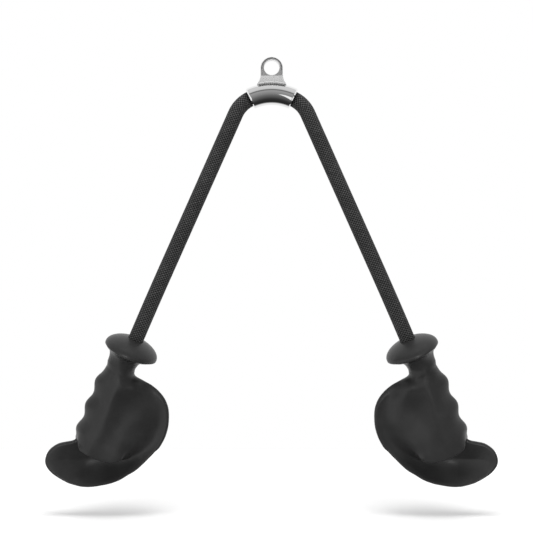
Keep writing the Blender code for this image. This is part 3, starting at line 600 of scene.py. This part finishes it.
def collarRings(turn, neck):
    # a quarter ellipse turned for the dome, with a boss that swells towards the rope by a power, then the
    # underside, which passes into the neck's first ring by powers
    radius, dome, edge = handle["collarRadius"], handle["collarDome"], handle["collarEdge"]
    ring = np.stack([-np.cos(turn), np.sin(turn), np.zeros(len(turn))], axis=1)
    rings = []
    for s in np.linspace(handle["domeFrom"], 1, handle["domeRings"]):
        reach = math.sin(s * math.pi / 2)
        boss = handle["collarBoss"] * (1 - reach) ** handle["bossFall"]
        rings.append(ring * radius * reach + (0, 0, dome * (1 - math.cos(s * math.pi / 2)) - boss))
    rim = ring * radius + (0, 0, dome + edge * 0.5)
    rings.append(rim)
    for s in np.linspace(*handle["skirt"]):
        eased = neck + (rim - neck) * (1 - s) ** handle["skirtIn"]
        fall = (neck[:, 2] - rim[:, 2] - edge) * s ** handle["skirtDown"]
        eased[:, 2] = rim[:, 2] + edge * min(1, s * handle["skirtTurn"]) + fall
        rings.append(eased)
    return np.asarray(rings)


def handleSkin():
    # the collar's rings, then rows across the outline whose heights close to the edge by a quarter circle
    length, wall = handle["length"], handle["wall"]
    place = np.linspace(0, 1, handle["rows"])
    places = handle["lastRow"] * (place - handle["rowBunching"] * np.sin(2 * np.pi * place))
    fingers, palm, sag = outlineEnds(places)
    fingerLine, palmLine, _ = outlineEnds(np.linspace(0, len(handle["outline"]) - 1, handle["edgePoints"]))
    whole = np.concatenate([fingerLine[:, :2], palmLine[::-1, :2]])
    turn = 2 * np.pi * np.arange(handle["around"]) / handle["around"]
    share = (1 - np.cos(turn))[None, :] / 2
    across = fingers[:, :1] + (palm[:, :1] - fingers[:, :1]) * share
    down = fingers[:, 1:2] + (palm[:, 1:2] - fingers[:, 1:2]) * share + 4 * sag * share * (1 - share)
    levelRim = fingers[:, 2:] + (palm[:, 2:] - fingers[:, 2:]) * share
    front, rear, middle = skinHeights(across, down, whole, levelRim)
    least = handle["evenLeast"]
    even = handle["evenRate"] * (1 - rise(down / length, *handle["evenDown"]))
    even = even * (least + (1 - least) * rise(across / handle["palmReach"], *handle["evenAcross"]))
    even[[0, -1]] = 0
    # each point of the palm side moves towards the mean of its neighbours, again and again
    for _ in range(handle["smoothing"]):
        beside = np.roll(front, 1, axis=1) + np.roll(front, -1, axis=1)
        front = front + even * (beside + np.roll(front, 1, axis=0) + np.roll(front, -1, axis=0) - 4 * front)
    # the quarter circle's width: half the wall, more along the fingers, and half the neck in the neck
    neck = 1 - rise(down / length, *handle["neckTo"])
    width = np.minimum((palm[:, :1] - fingers[:, :1]) / 2, handle["neckHalf"])
    fingerShare = 1 - rise(down / length, *handle["fingersTo"])
    rounding = (handle["fingerRound"] - wall / 2) * fingerShare * (1 - rise(share, *handle["thumbSideFrom"]))
    side = wall / 2 + rounding
    side = side + (width - side) * neck
    toEdge = distanceTo(whole, np.stack([across, down], axis=-1))
    closing = np.sqrt(1 - (1 - np.clip(toEdge / side, 0, 1)) ** 2)
    height = middle + (np.where(turn[None, :] < np.pi, front, rear) - middle) * closing
    skin = np.stack([across, height, down], axis=-1)
    return np.concatenate([collarRings(turn, skin[0]), skin])


def handlePlace():  # the handle's own directions in the world, as a matrix, and the rope's entry
    lean = route["lean"]
    axis = math.cos(lean) * legDown + math.sin(lean) * backward
    front = math.sin(lean) * legDown - math.cos(lean) * backward
    palm = np.array([math.cos(route["legAngle"]), 0, -math.sin(route["legAngle"])])
    return np.stack([palm, front, axis]), np.array(linePoint(route["whole"]))


def cylinderAlong(name, radius, low, high, turnTo, origin):
    mesh = bpy.data.meshes.new(name)
    work = bmesh.new()
    bmesh.ops.create_cone(
        work, cap_ends=True, segments=handle["cutterAround"],
        radius1=radius, radius2=radius, depth=high - low,
    )
    work.to_mesh(mesh)
    work.free()
    coords = np.empty(len(mesh.vertices) * 3, np.float32)
    mesh.vertices.foreach_get("co", coords)
    coords = coords.reshape(-1, 3) + (0, 0, (low + high) / 2)
    mesh.vertices.foreach_set("co", (coords @ turnTo + origin).astype(np.float32).reshape(-1))
    mesh.update()
    cutter = bpy.data.objects.new(name, mesh)
    bpy.context.scene.collection.objects.link(cutter)
    return cutter


def handleMesh():
    turnTo, origin = handlePlace()
    mesh = gridMesh("handleSkin", handleSkin() @ turnTo + origin)
    blank = bpy.data.objects.new("handleBlank", mesh)
    bpy.context.scene.collection.objects.link(blank)
    # the rubber closes round the rope where it enters, then come the bore and, at the toe, the counterbore
    neckEnd, seat = handle["entryDepth"], handle["counterboreTop"]
    cuts = (
        ("entry", handle["entry"], handle["entryStart"], neckEnd + handle["entryOverlap"]),
        ("bore", handle["bore"], neckEnd, seat + handle["boreOverlap"]),
        ("counterbore", handle["counterbore"], seat, handle["gripLength"]),
    )
    cutters = [cylinderAlong(name, radius, low, high, turnTo, origin) for name, radius, low, high in cuts]
    for cutter in cutters:
        cut = blank.modifiers.new(cutter.name, "BOOLEAN")
        cut.operation = "DIFFERENCE"
        cut.solver = "MANIFOLD"
        cut.object = cutter
    bpy.context.view_layer.update()
    result = bpy.data.meshes.new_from_object(blank.evaluated_get(bpy.context.evaluated_depsgraph_get()))
    for helper in [blank] + cutters:
        bpy.data.objects.remove(helper)
    result.shade_smooth()
    result.set_sharp_from_angle(angle=handle["sharpFrom"])
    return result


rubberLook = {
    "roughness": 0.5,
    "gloss": 0.3,
    "grain": {"Scale": 1400.0, "Detail": 3.0, "Roughness": 0.6},  # 0.7 mm, coarser than the real grain
    "cloud": {"Scale": 38.0, "Detail": 5.0, "Roughness": 0.55},  # patches of 26 mm
    "tones": ((0.25, "#282828"), (0.55, "#2d2d2d"), (0.8, "#333333")),
    "varied": {"From Min": 0.3, "From Max": 0.7, "To Min": 0.33, "To Max": 0.41},
    "relief": {"Strength": 0.25, "Distance": 0.3 * mm},
}


def rubberMaterial():
    # moulded rubber: fine grain from a blasted mould, soft dull highlights, and a tone that varies a little
    # in patches
    look = rubberLook
    material, tree, shader = newMaterial("moulded rubber", look["roughness"])
    shader.inputs["Specular IOR Level"].default_value = look["gloss"]
    place = addNode(tree, "TexCoord").outputs["Object"]
    grain = addNode(tree, "TexNoise", None, {"Vector": place, **look["grain"]}).outputs["Fac"]
    cloud = addNode(tree, "TexNoise", None, {"Vector": place, **look["cloud"]}).outputs["Fac"]
    tone = addNode(tree, "ValToRGB", None, {"Fac": cloud}, look["tones"])
    varied = addNode(tree, "MapRange", None, {"Value": cloud, **look["varied"]})
    relief = addNode(tree, "Bump", None, {"Height": grain, **look["relief"]})
    tree.links.new(tone.outputs["Color"], shader.inputs["Base Color"])
    tree.links.new(varied.outputs[0], shader.inputs["Roughness"])
    tree.links.new(relief.outputs["Normal"], shader.inputs["Normal"])
    return material


rubber = rubberMaterial()
leftHandle = handleMesh()
rightHandle = mirrored(leftHandle, "grip_right_skin")
addPiece("grip_left_skin", leftHandle, "grip_left", rubber, "rubber", "handle_left")
addPiece("grip_right_skin", rightHandle, "grip_right", rubber, "rubber", "handle_right")
print("handles done:", len(leftHandle.polygons), "faces each")


# steel hanger

hanger = {
    "outer": 11.6 * mm,
    "inner": 8.6 * mm,
    "lip": 1.2 * mm,
    "hole": 8.3 * mm,
    "ring": 12.1 * mm,
    "ringDrop": 0.8 * mm,  # the ring's outer circle sits lower than the hole, so it is thinnest at the top
    "half": 5 * mm,
    "edgeRound": 1.6 * mm,
    "holeRound": 0.8 * mm,
    "flareTop": 7.5 * mm,  # this far below the hole's centre the sides start to flare
    "flareFoot": 17.8 * mm,
    "footHalf": 15.8 * mm,
    "footEnd": 22 * mm,
    "farthest": 34 * mm,  # the lug's outline is searched for this far out, in so many steps
    "steps": 700,
    "gap": 0.3 * mm,
    "around": 128,
    "stations": 120,
    "lugAround": 720,
    "corner": 7,  # points over a rounded edge
    "edgeWall": (0.8, -0.8, 5),  # the outer wall's points: first and last share, and how many
    "face": (0.3, 0.4, 0.5, 0.6, 0.7),  # where the flat faces have points, from the hole to the outline
    "lipSteps": (0.08, 0.5, 0.92, 1.0),
}

weldBead = {
    "radius": 1.3 * mm,
    "share": 0.8,  # of the lug's foot
    "stations": 160,
    "around": 28,
    "bluntness": 14,  # the power by which the ends close
    "endReach": 1.001,
    "endLeast": 0.002,
    "ripple": 0.006,
    "ripplePitch": 1.3 * mm,
}


def sleeveMesh():
    # a ring profile carried round the sleeve's arc: outer wall, a slanted lip, the bore, and the other lip
    h = hanger
    sweep, lip = route["halfSweep"], h["lip"]
    arc = np.linspace(-sweep, sweep, h["stations"])
    inset = lip / route["sleeveRadius"]
    slant = np.array(h["lipSteps"])
    outerArc = np.linspace(-sweep + inset, sweep - inset, h["stations"])
    lips = sweep - inset * (1 - slant), -sweep + inset * (1 - slant[::-1])
    stations = np.concatenate([outerArc, lips[0], arc[::-1], lips[1]])
    outer, inner = np.full(len(outerArc), h["outer"]), np.full(len(arc), h["inner"])
    radii = np.concatenate([outer, h["outer"] - lip * slant, inner, h["outer"] - lip * slant[::-1]])
    turn = 2 * np.pi * np.arange(h["around"]) / h["around"]
    reach = route["sleeveRadius"] + radii[:, None] * np.cos(turn)[None, :]
    x, z = reach * np.sin(stations)[:, None], reach * np.cos(stations)[:, None] - route["eyeDrop"]
    points = np.stack([x, radii[:, None] * np.sin(turn)[None, :], z], axis=-1)
    return gridMesh("sleeve", points, closeRows=True)


def lugOutline(angle):
    # how far the lug reaches from the hole's centre at each angle: a circle above, and below it two upright
    # sides that flare towards the foot by a square
    h = hanger
    direction = np.stack([np.cos(angle), np.sin(angle)], axis=-1)
    reach = np.linspace(0, h["farthest"], h["steps"])
    x = np.abs(direction[:, None, 0] * reach)
    z = direction[:, None, 1] * reach
    fall = np.clip((-z - h["flareTop"]) / (h["flareFoot"] - h["flareTop"]), 0, 1)
    limit = h["ring"] + (h["footHalf"] - h["ring"]) * fall**2
    lower = z + h["ringDrop"]
    inside = np.where(lower > 0, x**2 + lower**2 < h["ring"] ** 2, (x < limit) & (z > -h["footEnd"]))
    return reach[inside.sum(axis=1) - 1]


def lugMesh():
    # a loop carried round the hole: the hole's wall, the front, the outer edge and the back, with rounded
    # corners. A point of the loop is its offset outwards, its depth, and its share of the way to the outline
    h = hanger
    half, edgeRound, holeRound = h["half"], h["edgeRound"], h["holeRound"]
    angle = np.linspace(0, 2 * np.pi, h["lugAround"], endpoint=False)
    outline = lugOutline(angle)
    outline = (np.roll(outline, 1) + 2 * outline + np.roll(outline, -1)) / 4
    corner = np.linspace(0, np.pi / 2, h["corner"])
    holeWall = [(0.0, c * (half - holeRound), 0) for c in np.linspace(-1, 1, h["corner"])]
    holeFront = [
        (holeRound * (1 - math.cos(c)), half - holeRound + holeRound * math.sin(c), 0) for c in corner[1:]
    ]
    faceFront = [(0, half, k) for k in h["face"]]
    edgeFront = [(edgeRound * (math.sin(c) - 1), half - edgeRound * (1 - math.cos(c)), 1) for c in corner]
    edgeWall = [(0.0, c * (half - edgeRound), 1) for c in np.linspace(*h["edgeWall"])]
    loop = holeWall + holeFront + faceFront + edgeFront + edgeWall
    loop += [(a, -b, k) for a, b, k in reversed(holeFront + faceFront + edgeFront)]
    offset, depth, outer = (np.array([p[k] for p in loop])[:, None] for k in range(3))
    radius = h["hole"] + (outline[None, :] - h["hole"]) * outer + offset
    x, z = radius * np.cos(angle), radius * np.sin(angle)
    y = np.broadcast_to(-depth, x.shape)
    # the foot ends on the sleeve, a small gap above its outer wall
    wall = np.sqrt(np.maximum((h["outer"] + h["gap"]) ** 2 - y**2, 0))
    seat = np.sqrt(np.maximum((route["sleeveRadius"] + wall) ** 2 - x**2, 0)) - route["eyeDrop"]
    return gridMesh("lug", np.stack([x, y, np.maximum(z, seat)], axis=-1), closeRows=True)


def weldMesh(sign):
    # a bead in the corner of lug and sleeve: a round rope of weld whose radius ripples by a cosine along its
    # length and closes at the ends by a high power
    h, w = hanger, weldBead
    clear = w["radius"] + h["gap"]
    side = h["half"] + clear
    lift = math.sqrt((h["outer"] + clear) ** 2 - side**2)
    reach = h["footHalf"] / route["sleeveRadius"] * w["share"]
    along = np.linspace(-reach, reach, w["stations"])
    turn = 2 * np.pi * np.arange(w["around"]) / w["around"]
    closing = 1 - (np.abs(along) / (reach * w["endReach"])) ** w["bluntness"]
    end = np.sqrt(np.clip(closing, w["endLeast"], 1))
    wave = 0.5 + 0.5 * np.cos(along * route["sleeveRadius"] / w["ripplePitch"] * 2 * np.pi)
    bead = w["radius"] * end * (1 - w["ripple"] * wave)
    reachOut = route["sleeveRadius"] + lift + bead[:, None] * np.cos(turn)
    x, z = reachOut * np.sin(along)[:, None], reachOut * np.cos(along)[:, None] - route["eyeDrop"]
    return gridMesh("weld", np.stack([x, sign * side + bead[:, None] * np.sin(turn), z], axis=-1))


chromeLook = {
    "colour": "#f0f0f0",
    "roughness": 0.05,
    "metallic": 1.0,
    "noise": {"Scale": 260.0, "Detail": 4.0},  # marks of 4 mm
    "varied": {"From Min": 0.35, "From Max": 0.75, "To Min": 0.025, "To Max": 0.06},
}

zincLook = {
    "colour": "#e4e4e4",
    "roughness": 0.3,
    # between these heights the polished ring passes into the foot's paler, part-diffuse finish: painted
    # light, standing in for the light its upturned flare catches
    "foot": {"From Min": -9.6 * mm, "From Max": -8.4 * mm, "To Min": 1.0, "To Max": 0.0},
    "metal": {"To Min": 0.92, "To Max": 0.35},  # ring, foot
    "noise": {"Scale": 420.0, "Detail": 3.0},  # hollows of 2.4 mm
    "varied": {"From Min": 0.3, "From Max": 0.75, "To Min": 0.18, "To Max": 0.36},
    "relief": {"Strength": 0.08, "Distance": 0.3 * mm},
}

weldLook = {
    "colour": "#cfcfcf",
    "roughness": 0.5,
    "metallic": 0.3,
    "noise": {"Scale": 900.0, "Detail": 3.0},  # brush marks of 1.1 mm, coarser than the real ones
    "varied": {"From Min": 0.3, "From Max": 0.7, "To Min": 0.45, "To Max": 0.6},
}


def zincMaterial():
    # forged steel under zinc: the ring is polished and mirrors the room in soft greys. Below it the foot is
    # given a paler, part-diffuse finish by height, painted light that stands in for the light its upturned
    # flare catches
    look = zincLook
    material, tree, shader = newMaterial("zinc plated steel", look["roughness"], 1.0, look["colour"])
    place = addNode(tree, "TexCoord").outputs["Object"]
    noise = addNode(tree, "TexNoise", None, {"Vector": place, **look["noise"]}).outputs["Fac"]
    height = addNode(tree, "SeparateXYZ", None, {"Vector": place}).outputs["Z"]
    # painted light: below the ring the finish turns paler by height
    foot = addNode(tree, "MapRange", smooth, {"Value": height, **look["foot"]}).outputs[0]
    metal = addNode(tree, "MapRange", None, {"Value": foot, **look["metal"]})
    varied = addNode(tree, "MapRange", None, {"Value": noise, **look["varied"]})
    relief = addNode(tree, "Bump", None, {"Height": noise, **look["relief"]})
    tree.links.new(metal.outputs[0], shader.inputs["Metallic"])
    tree.links.new(varied.outputs[0], shader.inputs["Roughness"])
    tree.links.new(relief.outputs["Normal"], shader.inputs["Normal"])
    return material


chrome = plainMaterial("chrome plating", chromeLook)  # polished tube, mirror-like, with faint rubbing marks
zinc = zincMaterial()
weld = plainMaterial("brushed weld", weldLook)  # brushed clean and plated: satin, so it reads as a pale seam
addPiece("sleeve_tube", sleeveMesh(), "hanger", chrome, "chrome", "hanger_sleeve")
addPiece("lug_eye", lugMesh(), "hanger", zinc, "steel", "hanger_eye")
addPiece("weld_front", weldMesh(-1), "hanger", weld, "steel", "weld_bead_front")
addPiece("weld_back", weldMesh(1), "hanger", weld, "steel", "weld_bead_back")
print("hanger done")


# pieces inside the handles keep their CAD shapes

nylonLook = {
    "colour": "#3a3a3b",
    "roughness": 0.45,
    "metallic": 0.0,
    "noise": {"Scale": 500.0, "Detail": 3.0},  # mould grain of 2 mm, coarser than the real one
    "varied": {"From Min": 0.3, "From Max": 0.7, "To Min": 0.38, "To Max": 0.52},
}

washerLook = {
    "colour": "#a9a9aa",
    "roughness": 0.35,
    "metallic": 1.0,
    "noise": {"Scale": 300.0, "Detail": 3.0},  # patches of 3.3 mm
    "varied": {"From Min": 0.3, "From Max": 0.7, "To Min": 0.28, "To Max": 0.45},
}

ferruleLook = {
    "colour": "#c8c8ca",
    "roughness": 0.4,
    "metallic": 1.0,
    "noise": {"Scale": 300.0, "Detail": 3.0},  # patches of 3.3 mm
    "varied": {"From Min": 0.3, "From Max": 0.7, "To Min": 0.32, "To Max": 0.5},
}

inner = {
    "bore_sleeve_": plainMaterial("moulded nylon", nylonLook),  # dull dark plastic with a faint sheen
    "washer_": plainMaterial("plain washer steel", washerLook),  # grey, tumbled and slightly dull
    "ferrule_": plainMaterial("crimped aluminium", ferruleLook),  # pale soft metal, dulled by the tool
    "toe_plug_": rubber,
    "rope_end_": braid,
}
for side in ("left", "right"):
    for node, material in inner.items():
        for place in frame["nodes"][node + side].material_slots:
            place.material = material
print("inner pieces done")


# floor, world and lights

stage = {
    "floorLevel": -0.494,
    "floorCorners": ((-1.2, -1.2), (1.2, -1.2), (1.2, 0.5), (-1.2, 0.5)),
    # the white that the camera sees on the floor grows away from the object
    "floorGlow": {"From Min": 0.6, "From Max": 1.1, "To Min": 0.19, "To Max": 0.9},
    "paper": "#f2f2f2",
    "paperRoughness": 0.9,
    "lampAim": (0, 0, -0.2),
    "lamps": (
        # place, size, power in watts, and which pieces it lights, "" for all
        ((0.0, -0.6, 1.2), 0.7, 20.0, ""),
        ((0.9, -1.0, 0.25), 0.5, 0.7, "grip_right"),
        ((-0.9, -1.0, 0.25), 0.5, 0.4, "grip_left"),
        ((-0.34, -1.1, -0.45), 0.2, 3.2, "grip_left"),
        ((0.38, -1.1, -0.45), 0.2, 3.6, "grip_right"),
        ((0.0, -1.1, -0.8), 0.5, 9.0, "rope"),
    ),
    # what falls on dull surfaces: a dark floor side, grey walls and a bright ceiling
    "domeStrength": 0.75,
    "dome": ((0.0, "#808080"), (0.45, "#868686"), (0.6, "#a8a8a8"), (1.0, "#ffffff")),
    # the room as the steel shows it: from straight behind, under the object, in front, above, to behind
    "room": (
        (0.0, "#ffffff"), (0.17, "#f4f4f4"), (0.2, "#909090"), (0.225, "#2b2b2b"), (0.273, "#272727"),
        (0.342, "#363636"), (0.441, "#686868"), (0.497, "#868686"), (0.585, "#a2a2a2"), (0.602, "#7e7e7e"),
        (0.622, "#666666"), (0.642, "#c0c0c0"), (0.66, "#d4d4d4"), (0.765, "#dcdcdc"), (0.785, "#c8c8c8"),
        (0.81, "#fafafa"), (1.0, "#ffffff"),
    ),
    # white side walls that the sleeve's lips catch: where they begin sideways, behind and under the object
    "wallSide": {"From Min": 0.7, "From Max": 0.85},
    "wallBehind": {"From Min": -0.3, "From Max": -0.1},
    "wallUnder": {"From Min": -0.1, "From Max": -0.3},
    # a leaning softbox low on the left, which draws a white wedge along the right half of the tube: at x
    # and z it reaches as far from the middle as 1.3 (x / z - 0.12)
    "wedgeReach": {"From Min": 0.12, "From Max": 1.12, "To Max": 1.3},
    "wedgeEdge": {"From Max": 0.1},
    "wedgeLeft": {"From Min": -0.01, "From Max": -0.04},
}


def addFloor():
    mesh = bpy.data.meshes.new("floor")
    mesh.from_pydata([(x, y, stage["floorLevel"]) for x, y in stage["floorCorners"]], [], [(0, 1, 2, 3)])
    floor = bpy.data.objects.new("floor", mesh)
    bpy.context.scene.collection.objects.link(floor)
    # white paper: it glows a little for the camera, so that it clips to white and darkens only in the shadow
    paper, tree, shader = newMaterial("white paper", stage["paperRoughness"], 0.0, stage["paper"])
    seen = addNode(tree, "LightPath").outputs["Is Camera Ray"]
    place = addNode(tree, "TexCoord").outputs["Object"]
    away = addNode(tree, "VectorMath", {"operation": "LENGTH"}, {0: place}).outputs["Value"]
    level = addNode(tree, "MapRange", None, {"Value": away, **stage["floorGlow"]}).outputs[0]
    glow = addNode(tree, "Math", multiply, {0: level, 1: seen}).outputs[0]
    shader.inputs["Emission Color"].default_value = (1, 1, 1, 1)
    tree.links.new(glow, shader.inputs["Emission Strength"])
    mesh.materials.append(paper)
    floor.visible_glossy = False


def addWorld():
    # the camera sees white, shiny surfaces mirror the room, and dull ones are lit by the dome
    world = bpy.data.worlds.new("studio")
    bpy.context.scene.world = world
    world.use_nodes = True
    tree = world.node_tree
    tree.nodes.clear()
    rays = addNode(tree, "LightPath").outputs
    direction = addNode(tree, "TexCoord").outputs["Generated"]
    split = addNode(tree, "SeparateXYZ", None, {"Vector": direction}).outputs
    x, y, z = split["X"], split["Y"], split["Z"]
    toFront = addNode(tree, "Math", multiply, {0: y, 1: -1.0}).outputs[0]
    angle = addNode(tree, "Math", {"operation": "ARCTAN2"}, {0: z, 1: toFront}).outputs[0]
    wholeTurn = {"Value": angle, "From Min": -math.pi, "From Max": math.pi}
    share = addNode(tree, "MapRange", None, wholeTurn).outputs[0]
    room = addNode(tree, "ValToRGB", None, {"Fac": share}, stage["room"]).outputs["Color"]
    height = addNode(tree, "MapRange", None, {"Value": z, "From Min": -1.0}).outputs[0]
    dome = addNode(tree, "ValToRGB", None, {"Fac": height}, stage["dome"]).outputs["Color"]
    # the side walls
    sideways = addNode(tree, "Math", {"operation": "ABSOLUTE"}, {0: x}).outputs[0]
    beside = addNode(tree, "MapRange", smooth, {"Value": sideways, **stage["wallSide"]}).outputs[0]
    behind = addNode(tree, "MapRange", smooth, {"Value": y, **stage["wallBehind"]}).outputs[0]
    under = addNode(tree, "MapRange", smooth, {"Value": z, **stage["wallUnder"]}).outputs[0]
    walls = addNode(tree, "Math", multiply, {0: beside, 1: behind}).outputs[0]
    walls = addNode(tree, "Math", multiply, {0: walls, 1: under}).outputs[0]
    # the wedge
    lean = addNode(tree, "Math", {"operation": "DIVIDE"}, {0: x, 1: z}).outputs[0]
    reach = addNode(tree, "MapRange", None, {"Value": lean, **stage["wedgeReach"]}).outputs[0]
    flat = addNode(tree, "CombineXYZ", None, {"X": x, "Z": z}).outputs[0]
    away = addNode(tree, "VectorMath", {"operation": "LENGTH"}, {0: flat}).outputs["Value"]
    within = addNode(tree, "Math", {"operation": "SUBTRACT"}, {0: reach, 1: away}).outputs[0]
    wedge = addNode(tree, "MapRange", smooth, {"Value": within, **stage["wedgeEdge"]}).outputs[0]
    leftward = addNode(tree, "MapRange", smooth, {"Value": x, **stage["wedgeLeft"]}).outputs[0]
    wedge = addNode(tree, "Math", multiply, {0: wedge, 1: leftward}).outputs[0]
    bright = addNode(tree, "Math", {"operation": "MAXIMUM"}, {0: walls, 1: wedge}).outputs[0]
    shown = addNode(tree, "Mix", {"data_type": "RGBA"}, {"Factor": bright})
    tree.links.new(room, shown.inputs["A"])
    shown.inputs["B"].default_value = (1, 1, 1, 1)
    mirror = addNode(tree, "Background", None, {"Color": shown.outputs["Result"]}).outputs[0]
    lit = addNode(tree, "Background", None, {"Color": dome, "Strength": stage["domeStrength"]}).outputs[0]
    white = addNode(tree, "Background", None, {"Color": (1, 1, 1, 1)}).outputs[0]
    glossy = addNode(tree, "MixShader", None, {0: rays["Is Glossy Ray"], 1: lit, 2: mirror}).outputs[0]
    final = addNode(tree, "MixShader", None, {0: rays["Is Camera Ray"], 1: glossy, 2: white}).outputs[0]
    addNode(tree, "OutputWorld", None, {"Surface": final})


def addLamp(name, place, size, power, lights):
    lamp = bpy.data.lights.new(name, "AREA")
    lamp.size, lamp.energy = size, power
    holder = bpy.data.objects.new(name, lamp)
    bpy.context.scene.collection.objects.link(holder)
    holder.visible_glossy = bool(lights)
    if lights:
        chosen = bpy.data.collections.new("lit_by_" + name)
        for piece in bpy.data.objects:
            if piece.type == "MESH" and piece.name.startswith(lights):
                chosen.objects.link(piece)
        holder.light_linking.receiver_collection = chosen
    aim = np.array(stage["lampAim"]) - np.array(place)
    tilt, heading = math.acos(-aim[2] / np.linalg.norm(aim)), math.atan2(aim[1], aim[0]) - math.pi / 2
    holder.location = place
    holder.rotation_euler = (tilt, 0, heading)


addFloor()
addWorld()
for number, settings in enumerate(stage["lamps"]):
    addLamp("softbox" + str(number), *settings)
print("stage done")
